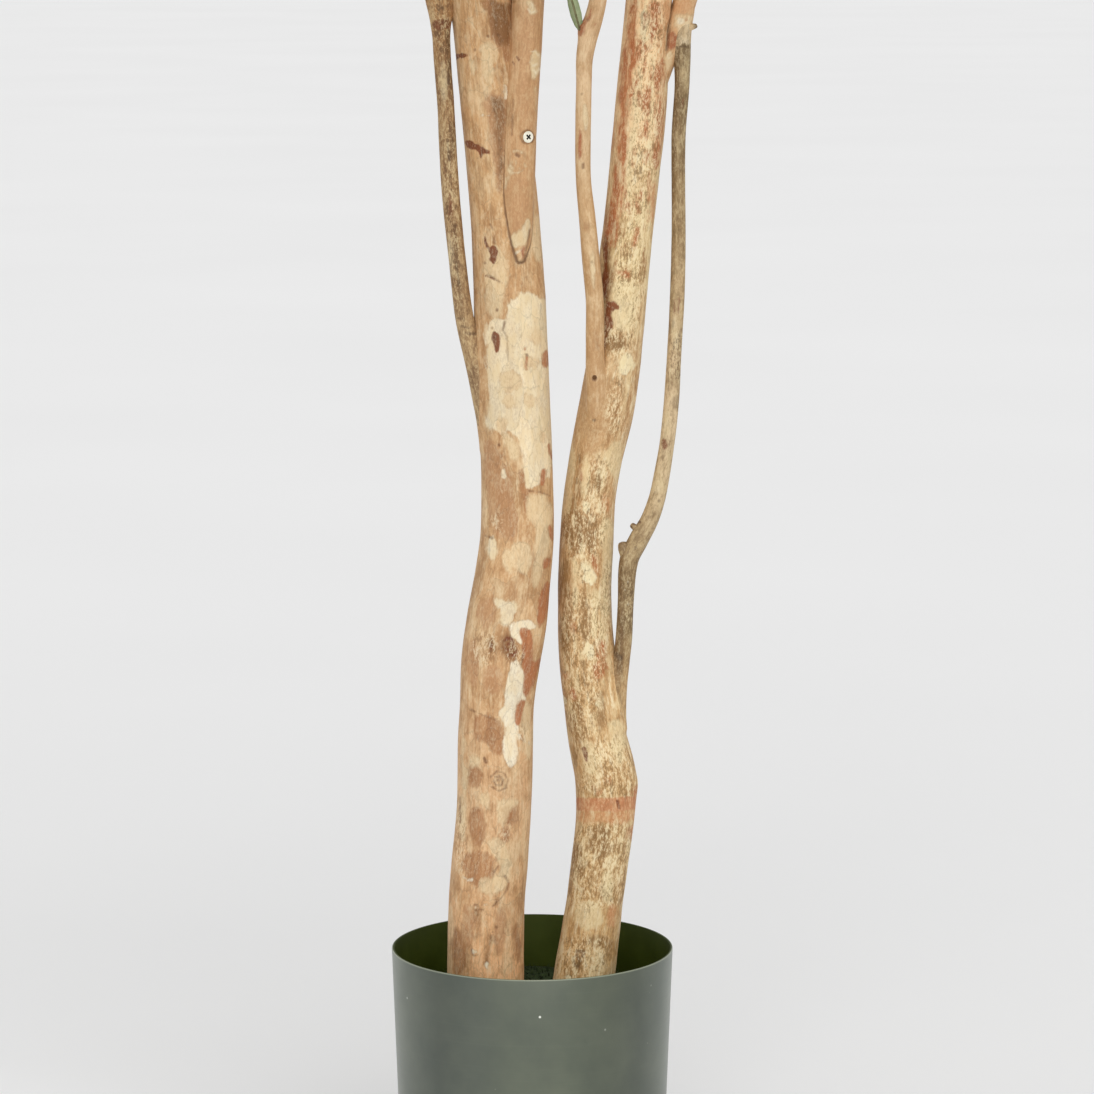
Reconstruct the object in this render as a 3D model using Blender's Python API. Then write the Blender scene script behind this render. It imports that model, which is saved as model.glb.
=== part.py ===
"""Potted olive tree: two natural-wood trunks, boughs let into them, and plug-in leafy sprays, in a plain pot.

Metres, +Z up, origin at the centre of the pot's underside, front towards -Y.
"""

import math
import random
from dataclasses import dataclass, field

import bmesh
import bpy
import numpy as np
from mathutils import Matrix, Vector

FIT_GAP = 0.0003
SMOOTH_ANGLE = 40

# The pot: a thin moulded shell with a slight draft
POT_HEIGHT = 0.230
POT_RIM_RADIUS = 0.125
POT_BASE_RADIUS = 0.1165
POT_WALL = 0.0024
POT_FLOOR = 0.0035
POT_EDGE = 0.0008
POT_SIDES = 36

# What fills it: a cast block that holds the trunks, and a moss cover
MOSS_TOP = 0.182
MOSS_THICKNESS = 0.012
MOSS_RINGS = 4
MOSS_SIDES = 18
MOSS_BUMP = 0.0022
# Waves of the moss in radians a metre: along x, along y and across both, and where the first one starts
MOSS_WAVES = (47, 61, 83)
MOSS_WAVE_START = 1.3
TRUNK_FOOT = 0.060

# Every bough is a list of stations: height, x, y, radius
TRUNK_SIDES = 12
LIMB_SIDES = 8
BRANCH_SIDES = 6
TANGENT_STEP = 0.004
TRUNK_LEFT = [
    (TRUNK_FOOT, -0.0430, -0.006, 0.0345),
    (0.204, -0.0418, -0.006, 0.0342),
    (0.272, -0.0403, -0.007, 0.0336),
    (0.308, -0.0376, -0.008, 0.0336),
    (0.363, -0.0335, -0.009, 0.0331),
    (0.417, -0.0325, -0.010, 0.0330),
    (0.453, -0.0311, -0.010, 0.0326),
    (0.489, -0.0280, -0.010, 0.0347),
    (0.524, -0.0226, -0.008, 0.0354),
    (0.560, -0.0173, -0.006, 0.0337),
    (0.596, -0.0133, -0.004, 0.0324),
    (0.631, -0.0128, -0.002, 0.0319),
    (0.684, -0.0141, 0.001, 0.0314),
    (0.720, -0.0158, 0.002, 0.0313),
    (0.807, -0.0192, 0.004, 0.0312),
    (0.860, -0.0224, 0.004, 0.0301),
    (0.894, -0.0247, 0.004, 0.0297),
    (0.946, -0.0299, 0.003, 0.0290),
    (0.998, -0.0350, 0.002, 0.0287),
    (1.067, -0.0426, 0.000, 0.0271),
    (1.200, -0.0600, 0.002, 0.0232),
    (1.340, -0.0750, 0.012, 0.0186),
    (1.480, -0.0780, 0.026, 0.0142),
    (1.620, -0.0680, 0.036, 0.0104),
    (1.740, -0.0520, 0.040, 0.0070),
]
TRUNK_RIGHT = [
    (TRUNK_FOOT, 0.0260, 0.012, 0.0280),
    (0.200, 0.0461, 0.012, 0.0273),
    (0.251, 0.0535, 0.012, 0.0256),
    (0.272, 0.0563, 0.012, 0.0249),
    (0.308, 0.0606, 0.012, 0.0252),
    (0.345, 0.0649, 0.012, 0.0260),
    (0.381, 0.0653, 0.012, 0.0273),
    (0.417, 0.0577, 0.012, 0.0259),
    (0.453, 0.0524, 0.012, 0.0250),
    (0.489, 0.0483, 0.012, 0.0246),
    (0.542, 0.0465, 0.012, 0.0236),
    (0.596, 0.0482, 0.012, 0.0236),
    (0.631, 0.0503, 0.012, 0.0231),
    (0.667, 0.0560, 0.012, 0.0235),
    (0.702, 0.0634, 0.012, 0.0243),
    (0.737, 0.0694, 0.012, 0.0238),
    (0.772, 0.0742, 0.012, 0.0228),
    (0.842, 0.0810, 0.012, 0.0223),
    (0.894, 0.0869, 0.012, 0.0218),
    (0.946, 0.0920, 0.012, 0.0221),
    (0.981, 0.0949, 0.012, 0.0219),
    (1.015, 0.0974, 0.012, 0.0211),
    (1.067, 0.1015, 0.012, 0.0202),
    (1.200, 0.1080, 0.014, 0.0178),
    (1.340, 0.1100, 0.010, 0.0152),
    (1.480, 0.1040, 0.000, 0.0122),
    (1.620, 0.1000, -0.010, 0.0092),
    (1.760, 0.1060, -0.014, 0.0062),
]
LIMB_LEFT = [
    (0.842, -0.0114, -0.0201, 0.0053),
    (0.860, -0.0116, -0.0172, 0.0108),
    (0.900, -0.0122, -0.0167, 0.0148),
    (0.946, -0.0108, -0.0163, 0.0148),
    (0.979, -0.0093, -0.0159, 0.0145),
    (1.028, -0.0051, -0.0130, 0.0139),
    (1.067, -0.0030, -0.0135, 0.0137),
    (1.200, 0.0060, -0.0380, 0.0118),
    (1.340, 0.0100, -0.0820, 0.0098),
    (1.470, 0.0020, -0.1280, 0.0078),
    (1.580, -0.0100, -0.1580, 0.0058),
]
LIMB_RIGHT = [
    (0.965, 0.0989, 0.0120, 0.0073),
    (0.998, 0.1089, 0.0120, 0.0093),
    (1.016, 0.1142, 0.0115, 0.0096),
    (1.033, 0.1206, 0.0110, 0.0099),
    (1.050, 0.1281, 0.0105, 0.0101),
    (1.067, 0.1328, 0.0100, 0.0101),
    (1.200, 0.1740, -0.0060, 0.0096),
    (1.340, 0.2120, -0.0300, 0.0086),
    (1.470, 0.2380, -0.0540, 0.0070),
    (1.570, 0.2520, -0.0720, 0.0055),
]
BRANCH_LEFT = [
    (0.675, -0.0346, -0.003, 0.0053),
    (0.702, -0.0392, -0.004, 0.0068),
    (0.720, -0.0436, -0.004, 0.0073),
    (0.755, -0.0515, -0.005, 0.0073),
    (0.790, -0.0589, -0.006, 0.0074),
    (0.842, -0.0648, -0.007, 0.0073),
    (0.912, -0.0712, -0.008, 0.0076),
    (0.981, -0.0748, -0.009, 0.0072),
    (1.015, -0.0773, -0.010, 0.0073),
    (1.043, -0.0787, -0.010, 0.0079),
    (1.067, -0.0800, -0.010, 0.0115),
    (1.110, -0.0910, -0.012, 0.0088),
    (1.220, -0.1240, -0.016, 0.0080),
    (1.340, -0.1700, -0.012, 0.0068),
    (1.450, -0.2100, 0.000, 0.0056),
]
BRANCH_MIDDLE = [
    (0.695, 0.0534, -0.0070, 0.0063),
    (0.722, 0.0552, -0.0085, 0.0076),
    (0.740, 0.0552, -0.0095, 0.0081),
    (0.774, 0.0550, -0.0100, 0.0081),
    (0.809, 0.0546, -0.0105, 0.0078),
    (0.844, 0.0512, -0.0110, 0.0077),
    (0.879, 0.0481, -0.0120, 0.0072),
    (0.913, 0.0447, -0.0130, 0.0065),
    (0.948, 0.0441, -0.0145, 0.0067),
    (0.999, 0.0449, -0.0165, 0.0068),
    (1.016, 0.0453, -0.0175, 0.0072),
    (1.033, 0.0479, -0.0185, 0.0080),
    (1.051, 0.0530, -0.0190, 0.0080),
    (1.068, 0.0569, -0.0200, 0.0076),
    (1.200, 0.0740, -0.0480, 0.0066),
    (1.330, 0.0930, -0.1000, 0.0058),
    (1.440, 0.1040, -0.1500, 0.0048),
]
BRANCH_RIGHT = [
    (0.425, 0.0749, 0.008, 0.0053),
    (0.453, 0.0764, 0.006, 0.0063),
    (0.489, 0.0797, 0.002, 0.0067),
    (0.507, 0.0812, 0.000, 0.0070),
    (0.542, 0.0826, -0.002, 0.0070),
    (0.578, 0.0852, -0.003, 0.0083),
    (0.596, 0.0934, -0.003, 0.0088),
    (0.613, 0.1026, -0.003, 0.0079),
    (0.631, 0.1091, -0.002, 0.0073),
    (0.649, 0.1130, 0.000, 0.0070),
    (0.684, 0.1186, 0.003, 0.0065),
    (0.720, 0.1222, 0.006, 0.0067),
    (0.755, 0.1242, 0.009, 0.0063),
    (0.807, 0.1268, 0.011, 0.0064),
    (0.860, 0.1279, 0.012, 0.0061),
    (0.946, 0.1276, 0.011, 0.0060),
    (0.998, 0.1314, 0.008, 0.0062),
    (1.033, 0.1330, 0.005, 0.0064),
    (1.056, 0.1332, 0.007, 0.0055),
]

# Forks that grew with their bough, so they are one piece with it
FORK_SIDES = 6
FORKS = {
    "trunk_left": {
        "fork_left_front": [
            (1.235, -0.0635, 0.000, 0.0090),
            (1.290, -0.0950, -0.028, 0.0092),
            (1.380, -0.1400, -0.075, 0.0082),
            (1.470, -0.1750, -0.118, 0.0068),
            (1.550, -0.2000, -0.150, 0.0054),
        ],
        "fork_left_back": [
            (1.300, -0.0700, 0.012, 0.0090),
            (1.370, -0.0950, 0.052, 0.0090),
            (1.460, -0.1180, 0.105, 0.0078),
            (1.550, -0.1320, 0.155, 0.0064),
            (1.620, -0.1400, 0.190, 0.0052),
        ],
    },
    "trunk_right": {
        "fork_right_back": [
            (1.225, 0.1080, 0.016, 0.0090),
            (1.300, 0.1160, 0.060, 0.0092),
            (1.390, 0.1200, 0.115, 0.0080),
            (1.480, 0.1180, 0.168, 0.0066),
            (1.560, 0.1150, 0.210, 0.0054),
        ],
        "fork_right_top": [
            (1.420, 0.1070, 0.003, 0.0080),
            (1.480, 0.1400, 0.016, 0.0078),
            (1.570, 0.1780, 0.032, 0.0068),
            (1.670, 0.2040, 0.042, 0.0054),
        ],
    },
    "limb_right": {
        "fork_limb_right": [
            (1.190, 0.1720, -0.004, 0.0066),
            (1.260, 0.2050, 0.026, 0.0066),
            (1.350, 0.2400, 0.070, 0.0058),
            (1.440, 0.2620, 0.108, 0.0048),
        ],
    },
}

# Twig stubs on the long right-hand branch: place, direction, length and radius
STUB_SIDES = 6
STUB_TAPER = 0.75
STUBS = [
    ((0.0838, -0.003, 0.572), (-0.20, -0.05, 0.98), 0.0225, 0.0052),
    ((0.0988, -0.003, 0.600), (-0.75, -0.10, 0.65), 0.0155, 0.0032),
    ((0.1326, 0.005, 1.042), (0.95, -0.10, 0.25), 0.0105, 0.0017),
]

# The screw through the left limb and the nail through the middle branch, each turned from the front about its bough
SCREW_HEIGHT = 0.9507
SCREW_TURN = 32
SCREW_LENGTH = 0.050
SCREW_HEAD_RADIUS = 0.0050
SCREW_HEAD_DEPTH = 0.0026
SCREW_SHANK_RADIUS = 0.0020
SCREW_RECESS = 0.0015
NAIL_HEIGHT = 0.7414
NAIL_TURN = -5
NAIL_LENGTH = 0.032
NAIL_HEAD_RADIUS = 0.0019
NAIL_HEAD_DEPTH = 0.0010
NAIL_SHANK_RADIUS = 0.0009
FIXING_SIDES = 12
# A fixing's seat as a share of its bough's radius, and its head's edge and crown as shares of the head
FIXING_SEAT = 0.97
HEAD_EDGE_SHARE = 0.3
HEAD_CROWN_SHARE = 0.94
# The screw's cross recess: its turn, and its arms' length and width as shares of the head's radius
RECESS_TURN = 20
RECESS_SPAN = 1.2
RECESS_WIDTH = 0.24

# The crown's outline is half of an ellipsoid's, with a level floor
CROWN_CENTRE = Vector((0.025, 0.0, 1.55))
CROWN_RADII = Vector((0.47, 0.45, 0.54))
CROWN_FLOOR = 1.150
LEAF_FLOOR = 1.100
# Each side spray: its bough, its height there and its heading in degrees from +X. Every bough's tip has one too.
SIDE_SPRAYS = [
    ("branch_middle", 1.024, 165),
    ("limb_right", 1.130, 345),
    ("trunk_right", 1.175, 50),
    ("trunk_left", 1.130, 85),
    ("trunk_left", 1.185, 140),
    ("branch_left", 1.150, 178),
    ("limb_left", 1.170, 222),
    ("branch_middle", 1.180, 275),
    ("limb_right", 1.260, 312),
    ("fork_limb_right", 1.350, 15),
    ("fork_right_back", 1.400, 40),
    ("fork_right_back", 1.480, 125),
    ("fork_left_back", 1.430, 165),
    ("branch_left", 1.310, 205),
    ("fork_left_front", 1.430, 250),
    ("limb_left", 1.380, 300),
    ("limb_right", 1.430, 340),
    ("fork_right_top", 1.570, 60),
    ("trunk_left", 1.480, 190),
    ("trunk_left", 1.620, 110),
    ("trunk_right", 1.620, 265),
    ("limb_left", 1.500, 215),
]
CROWN_TIPS = [
    "trunk_left", "trunk_right", "limb_left", "limb_right", "branch_left", "branch_middle",
    "fork_left_front", "fork_left_back", "fork_right_back", "fork_right_top", "fork_limb_right",
]
SOCKET_SIDES = 6
SOCKET_DEPTH = 0.012
SOCKET_PROUD = 0.002
SOCKET_LEAN = 53
# The lowest spray leaves its branch steeply and stays straight for longer, behind one leaf that hides its stem
FORK_LEAN = 27
FORK_PROUD = 0.014
FORK_LEAF_SHARE = 0.43
FORK_LEAF_RUN = (-0.25, -0.06, 0.96)
FORK_LEAF_FACING = (-0.75, -0.66, 0.0)

# A spray: an arched stem, side twigs, and opposite pairs of leaves that turn a quarter from pair to pair
STEM_RADIUS = 0.0022
STEM_TIP_RADIUS = 0.0013
STEM_SIDES = 4
STEM_LENGTH_LEAST = 0.25
STEM_LENGTH_MOST = 0.40
STEM_SEGMENTS = 4
STEM_LENGTH_SPREAD = (0.92, 1.0)
STEM_GUIDE = 0.42
STEM_BARE = 0.26
TIP_OUTWARD = 0.9
# A side stem's rise in degrees grows from low to high over these heights
STEM_RISE_LOW = 6
STEM_RISE_HIGH = 58
RISE_HEIGHTS = (1.15, 1.70)
RISE_SPREAD = 5
TWIG_RADIUS = 0.0014
TWIG_SIDES = 3
TWIG_PLACES = (0.36, 0.66)
TWIG_SHARE = 0.42
TWIG_SEGMENTS = 2
TWIG_SPREAD = 42
TWIG_SPREAD_DRAW = 6
TWIG_SHORTENING = (1.15, 0.55)
TWIG_BEND = 0.3
TWIG_BARE = 0.34
TWIG_FLOOR = CROWN_FLOOR - 0.010
GOLDEN_ANGLE = 137.5
# Where others are in a stem's way, it turns by a step and is tried again
TURN_STEP = 23
TURN_TRIES = 10
STEM_ROOM = 0.003
TWIG_ROOM = 0.002
BALL_STEP = 0.005
BOUGH_BALL_STEP = 0.008
LEAF_LENGTH = 0.064
LEAF_WIDTH = 0.0130
LEAF_THICKNESS = 0.0017
LEAF_SPACING = 0.024
LEAF_STRIDE = 3
TWIG_LEAF_STRIDE = 4
LEAF_ARCH = 0.06
LEAF_LEAN = (38, 60)
LEAF_LIFT = (-0.08, 0.16)
LEAF_SIZES = (0.80, 1.06)
TIP_LEAF_SIZES = (0.90, 1.08)
TIP_LEAF_ROOT = 0.002
LEAF_BALL_STEP = 0.008
# Where a leaf's outline has its shoulders, as shares of its length and of its width, and where its rib is deepest
LEAF_SHOULDERS = ((0.30, 0.92), (0.64, 0.88))
LEAF_RIB_SHARE = 0.47
CLEARANCE = 0.0015

BARK_TAN = (0.52, 0.34, 0.17, 1.0)
BARK_GREY = (0.36, 0.25, 0.13, 1.0)
POT_GREEN = (0.085, 0.105, 0.08, 1.0)
CAST_GREY = (0.36, 0.35, 0.33, 1.0)
MOSS_GREEN = (0.03, 0.06, 0.01, 1.0)
LEAF_GREEN = (0.11, 0.17, 0.07, 1.0)
ZINC_WHITE = (0.80, 0.79, 0.75, 1.0)
NAIL_BROWN = (0.10, 0.06, 0.04, 1.0)


@dataclass
class Leaf:
    """Where a leaf is rooted, which way it runs, what its upper face looks at, and its share of full size."""

    place: Vector
    run: Vector
    facing: Vector
    size: float


@dataclass
class Shoot:
    """A stem or twig: points from its root to its tip, and what grows on it."""

    line: list
    length: float
    bare: float
    leaves: list = field(default_factory=list)


@dataclass
class Spray:
    number: int
    bough: str
    root: Vector
    shoots: list


def clear_scene():
    for item in list(bpy.data.objects):
        bpy.data.objects.remove(item)


def material(name, colour, roughness, metallic=0.0):
    made = bpy.data.materials.get(name)
    if made is None:
        made = bpy.data.materials.new(name)
        made.use_nodes = True
        shader = made.node_tree.nodes["Principled BSDF"]
        shader.inputs["Base Color"].default_value = colour
        shader.inputs["Roughness"].default_value = roughness
        shader.inputs["Metallic"].default_value = metallic
    return made


def solid(name, bm, finish=None, smooth=True):
    """An object of its own from a bmesh whose faces are turned outwards."""
    bmesh.ops.recalc_face_normals(bm, faces=bm.faces)
    mesh = bpy.data.meshes.new(name)
    bm.to_mesh(mesh)
    bm.free()
    if smooth:
        mesh.shade_smooth()
        mesh.set_sharp_from_angle(angle=math.radians(SMOOTH_ANGLE))
    if finish:
        mesh.materials.append(finish)
    made = bpy.data.objects.new(name, mesh)
    bpy.context.collection.objects.link(made)
    return made


def combine(target, others, operation, solver="EXACT"):
    """One Boolean of the target with a collection of others, applied, and the others removed."""
    group = bpy.data.collections.new("operands")
    bpy.context.scene.collection.children.link(group)
    for other in others:
        group.objects.link(other)
    boolean = target.modifiers.new("combine", "BOOLEAN")
    boolean.operand_type = "COLLECTION"
    boolean.collection = group
    boolean.operation = operation
    boolean.solver = solver
    bpy.context.view_layer.update()
    graph = bpy.context.evaluated_depsgraph_get()
    finish = target.data.materials[0] if target.data.materials else None
    result = bpy.data.meshes.new_from_object(target.evaluated_get(graph))
    target.modifiers.clear()
    target.data = result
    if finish:
        result.materials.clear()
        result.materials.append(finish)
        result.polygons.foreach_set("material_index", [0] * len(result.polygons))
    for other in others:
        bpy.data.objects.remove(other)
    bpy.data.collections.remove(group)
    return target


def tube(points, radii, sides):
    """A closed tube through the points. Its sections share one reference axis, so it doesn't twist."""
    bm = bmesh.new()
    run = (points[-1] - points[0]).normalized()
    axes = [Vector((1, 0, 0)), Vector((0, 1, 0)), Vector((0, 0, 1))]
    reference = min(axes, key=lambda axis: abs(axis.dot(run)))
    rings = []
    for i, (point, radius) in enumerate(zip(points, radii)):
        tangent = (points[min(i + 1, len(points) - 1)] - points[max(i - 1, 0)]).normalized()
        across = (reference - reference.dot(tangent) * tangent).normalized()
        along_ring = tangent.cross(across)
        ring = []
        for k in range(sides):
            angle = 2 * math.pi * k / sides
            out = math.cos(angle) * across + math.sin(angle) * along_ring
            ring.append(bm.verts.new(point + radius * out))
        rings.append(ring)
    for low, high in zip(rings, rings[1:]):
        for k in range(sides):
            n = (k + 1) % sides
            bm.faces.new((low[k], low[n], high[n], high[k]))
    bm.faces.new(rings[0])
    bm.faces.new(rings[-1])
    return bm


def turned(profile, sides):
    """A solid of revolution from (radius, height) points that start and end on the axis."""
    bm = bmesh.new()
    verts = [bm.verts.new((radius, 0, height)) for radius, height in profile]
    edges = [bm.edges.new(pair) for pair in zip(verts, verts[1:])]
    bmesh.ops.spin(
        bm, geom=verts + edges, cent=(0, 0, 0), axis=(0, 0, 1), angle=2 * math.pi, steps=sides, use_merge=True
    )
    bmesh.ops.remove_doubles(bm, verts=bm.verts, dist=1e-6)
    return bm


def all_boughs():
    boughs = {
        "trunk_left": TRUNK_LEFT,
        "trunk_right": TRUNK_RIGHT,
        "limb_left": LIMB_LEFT,
        "limb_right": LIMB_RIGHT,
        "branch_left": BRANCH_LEFT,
        "branch_middle": BRANCH_MIDDLE,
        "branch_right": BRANCH_RIGHT,
    }
    for forks in FORKS.values():
        boughs.update(forks)
    return boughs


def bough_at(stations, height):
    """Centre and radius of a bough at a height, on a smooth curve through its stations."""
    heights = [station[0] for station in stations]
    values = [Vector((x, y, z, radius)) for z, x, y, radius in stations]
    last = len(stations) - 1
    i = max(0, min(last - 1, sum(h <= height for h in heights) - 1))

    def slope(k):
        low, high = max(k - 1, 0), min(k + 1, last)
        return (values[high] - values[low]) / (heights[high] - heights[low])

    span = heights[i + 1] - heights[i]
    t = (height - heights[i]) / span
    value = (
        (2 * t**3 - 3 * t**2 + 1) * values[i]
        + (t**3 - 2 * t**2 + t) * span * slope(i)
        + (3 * t**2 - 2 * t**3) * values[i + 1]
        + (t**3 - t**2) * span * slope(i + 1)
    )
    return value.xyz, value.w


def bough_tangent(stations, height):
    low = max(stations[0][0], height - TANGENT_STEP)
    high = min(stations[-1][0], height + TANGENT_STEP)
    return (bough_at(stations, high)[0] - bough_at(stations, low)[0]).normalized()


def bough_tube(stations, sides):
    points = [Vector((x, y, z)) for z, x, y, _ in stations]
    return tube(points, [station[3] for station in stations], sides)


def bough_cutter(stations, sides):
    """The cutter for the seat of a bough: its own tube, one fit gap larger all round."""
    points = [Vector((x, y, z)) for z, x, y, _ in stations]
    points[0] -= FIT_GAP * bough_tangent(stations, stations[0][0])
    points[-1] += FIT_GAP * bough_tangent(stations, stations[-1][0])
    grow = FIT_GAP / math.cos(math.pi / sides)
    return solid("seat", tube(points, [station[3] + grow for station in stations], sides))


def socket_cutter(spray):
    """The round hole that a spray's stem is pushed into."""
    radius = (STEM_RADIUS + FIT_GAP) / math.cos(math.pi / SOCKET_SIDES)
    mouth = spray.shoots[0].line[0]
    run = (mouth - spray.root).normalized()
    ends = [spray.root - FIT_GAP * run, mouth + 2 * radius * run]
    return solid("socket", tube(ends, [radius, radius], SOCKET_SIDES))


def stub(place, direction, length, radius):
    start = Vector(place)
    end = start + length * Vector(direction).normalized()
    return solid("stub", tube([start, end], [radius, STUB_TAPER * radius], STUB_SIDES))


def build_wood(name, sides, finish, seats, sprays):
    """A bough with its forks grown on, cut for the boughs that are let into it, and drilled for its sprays."""
    boughs = all_boughs()
    forks = FORKS.get(name, {})
    made = solid(name, bough_tube(boughs[name], sides), finish)
    grown = [solid("fork", bough_tube(fork, FORK_SIDES)) for fork in forks.values()]
    if name == "branch_right":
        grown += [stub(*values) for values in STUBS]
    if grown:
        combine(made, grown, "UNION")
    cutters = [bough_cutter(boughs[seat], seat_sides) for seat, seat_sides in seats]
    cutters += [socket_cutter(spray) for spray in sprays if spray.bough == name or spray.bough in forks]
    if cutters:
        combine(made, cutters, "DIFFERENCE")
    return made


def pot_inside(height):
    """Inner radius of the pot at a height."""
    return POT_BASE_RADIUS + (POT_RIM_RADIUS - POT_BASE_RADIUS) * height / POT_HEIGHT - POT_WALL


def build_pot():
    profile = [
        (0.0, 0.0),
        (POT_BASE_RADIUS - 2 * POT_EDGE, 0.0),
        (POT_BASE_RADIUS, 2 * POT_EDGE),
        (POT_RIM_RADIUS, POT_HEIGHT - POT_EDGE),
        (POT_RIM_RADIUS - POT_EDGE, POT_HEIGHT),
        (POT_RIM_RADIUS - POT_WALL + POT_EDGE, POT_HEIGHT),
        (POT_RIM_RADIUS - POT_WALL, POT_HEIGHT - POT_EDGE),
        (pot_inside(POT_FLOOR), POT_FLOOR),
        (0.0, POT_FLOOR),
    ]
    return solid("pot", turned(profile, POT_SIDES), material("moulded_plastic", POT_GREEN, 0.5))


def trunk_seats():
    return [bough_cutter(TRUNK_LEFT, TRUNK_SIDES), bough_cutter(TRUNK_RIGHT, TRUNK_SIDES)]


def build_ballast():
    low, high = POT_FLOOR + FIT_GAP, MOSS_TOP - MOSS_THICKNESS
    profile = [
        (0.0, low),
        (pot_inside(low) - 2 * FIT_GAP, low),
        (pot_inside(high) - 2 * FIT_GAP, high),
        (0.0, high),
    ]
    made = solid("ballast", turned(profile, POT_SIDES), material("cast_concrete", CAST_GREY, 0.9))
    return combine(made, trunk_seats(), "DIFFERENCE")


def build_moss():
    """A low cover whose top rises and falls by a formula."""
    low = MOSS_TOP - MOSS_THICKNESS + FIT_GAP
    outer = pot_inside(low) - 2 * FIT_GAP
    profile = [(0.0, low), (outer, low)]
    profile += [(outer * k / MOSS_RINGS, MOSS_TOP) for k in range(MOSS_RINGS, -1, -1)]
    bm = turned(profile, MOSS_SIDES)
    for vert in bm.verts:
        if vert.co.z > low + FIT_GAP:
            x, y = vert.co.x, vert.co.y
            wave = math.sin(MOSS_WAVES[0] * x + MOSS_WAVE_START) * math.sin(MOSS_WAVES[1] * y)
            vert.co.z += 0.5 * MOSS_BUMP * (wave + math.sin(MOSS_WAVES[2] * (x + y)))
    made = solid("moss", bm, material("moss", MOSS_GREEN, 0.95))
    return combine(made, trunk_seats(), "DIFFERENCE")


def fixing_place(stations, height, turn):
    """The frame of a fixing on a bough's face: Z out of the wood, turned from the front about the bough."""
    centre, radius = bough_at(stations, height)
    out = Vector((math.sin(math.radians(turn)), -math.cos(math.radians(turn)), 0.0))
    turn_out = out.to_track_quat("Z", "Y").to_matrix().to_4x4()
    return Matrix.Translation(centre + FIXING_SEAT * radius * out) @ turn_out


def fixing_profile(head_radius, head_depth, shank_radius, length, grow=0.0):
    """Half of a countersunk outline. With grow it is its hole, which is open above the head."""
    outline = [
        (0.0, -length - grow),
        (shank_radius + grow, -length + shank_radius - grow),
        (shank_radius + grow, -head_depth - grow),
        (head_radius + grow, -HEAD_EDGE_SHARE * head_depth - grow),
    ]
    if grow:
        return outline + [(head_radius + grow, 2 * head_radius), (0.0, 2 * head_radius)]
    return outline + [(HEAD_CROWN_SHARE * head_radius, 0.0), (0.0, 0.0)]


def build_fixing(name, place, sizes, finish, recess, targets):
    """A countersunk fixing and its hole in each bough that it goes through."""
    made = solid(name, turned(fixing_profile(*sizes), FIXING_SIDES), finish)
    if recess:
        head_radius = sizes[0]
        arms = []
        for turn in (RECESS_TURN, RECESS_TURN + 90):
            bm = bmesh.new()
            bmesh.ops.create_cube(bm, size=1)
            arm = (RECESS_SPAN * head_radius, RECESS_WIDTH * head_radius, 2 * recess)
            bmesh.ops.scale(bm, verts=bm.verts, vec=arm)
            bmesh.ops.rotate(bm, verts=bm.verts, matrix=Matrix.Rotation(math.radians(turn), 3, "Z"))
            arms.append(solid("arm", bm, smooth=False))
        combine(made, [combine(arms[0], arms[1:], "UNION")], "DIFFERENCE")
    made.data.transform(place)
    for target in targets:
        grow = FIT_GAP / math.cos(math.pi / FIXING_SIDES)
        hole = solid("hole", turned(fixing_profile(*sizes, grow=grow), FIXING_SIDES))
        hole.data.transform(place)
        combine(target, [hole], "DIFFERENCE")
    return made


class Taken:
    """The room already filled, as balls along every bough, stem, twig and leaf, each with its owner's name."""

    def __init__(self):
        self.points = np.zeros((0, 3))
        self.radii = np.zeros(0)
        self.owners = np.zeros(0, dtype="U20")

    def add(self, points, radius, owner):
        self.points = np.vstack([self.points, [tuple(point) for point in points]])
        self.radii = np.append(self.radii, np.full(len(points), radius))
        self.owners = np.append(self.owners, np.full(len(points), owner, dtype="U20"))

    def clear(self, points, radius, owner):
        """True if balls at these points stay clear of all that others own."""
        others = self.owners != owner
        spots = np.array([tuple(point) for point in points])
        gaps = np.linalg.norm(spots[:, None] - self.points[others][None], axis=2) - self.radii[others]
        return bool((gaps > radius + CLEARANCE).all())


def along(line, share):
    """The point at a share of a line's length, and the line's direction there."""
    spans = [(b - a).length for a, b in zip(line, line[1:])]
    left = share * sum(spans)
    for a, b, span in zip(line, line[1:], spans):
        if left <= span * 1.0001:
            break
        left -= span
    return a.lerp(b, left / span), (b - a).normalized()


def arch(start, middle, end, segments):
    """Points on the curve that leaves its start towards the middle guide and comes from there to its end."""
    points = []
    for k in range(segments + 1):
        t = k / segments
        points.append((1 - t) ** 2 * start + 2 * t * (1 - t) * middle + t**2 * end)
    return points


def reach_to_outline(place, run):
    """How far it is from a place inside the crown's ellipsoid to its surface along a direction."""
    p = np.array(place - CROWN_CENTRE) / np.array(CROWN_RADII)
    d = np.array(run) / np.array(CROWN_RADII)
    a, b, c = d @ d, 2 * p @ d, p @ p - 1
    inside = b * b - 4 * a * c
    return float((-b + math.sqrt(inside)) / (2 * a)) if inside > 0 else 0.0


def grow_stem(mouth, start_run, end_run, rng):
    """The arch of a main stem from the mouth of its hole, with its end on the crown's outline."""
    length = min(STEM_LENGTH_MOST, max(STEM_LENGTH_LEAST, reach_to_outline(mouth, end_run)))
    length *= rng.uniform(*STEM_LENGTH_SPREAD)
    end = mouth + length * end_run
    end.z = max(end.z, CROWN_FLOOR)
    guide = mouth + STEM_GUIDE * length * start_run
    return Shoot(arch(mouth, guide, end, STEM_SEGMENTS), length, STEM_BARE)


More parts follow.
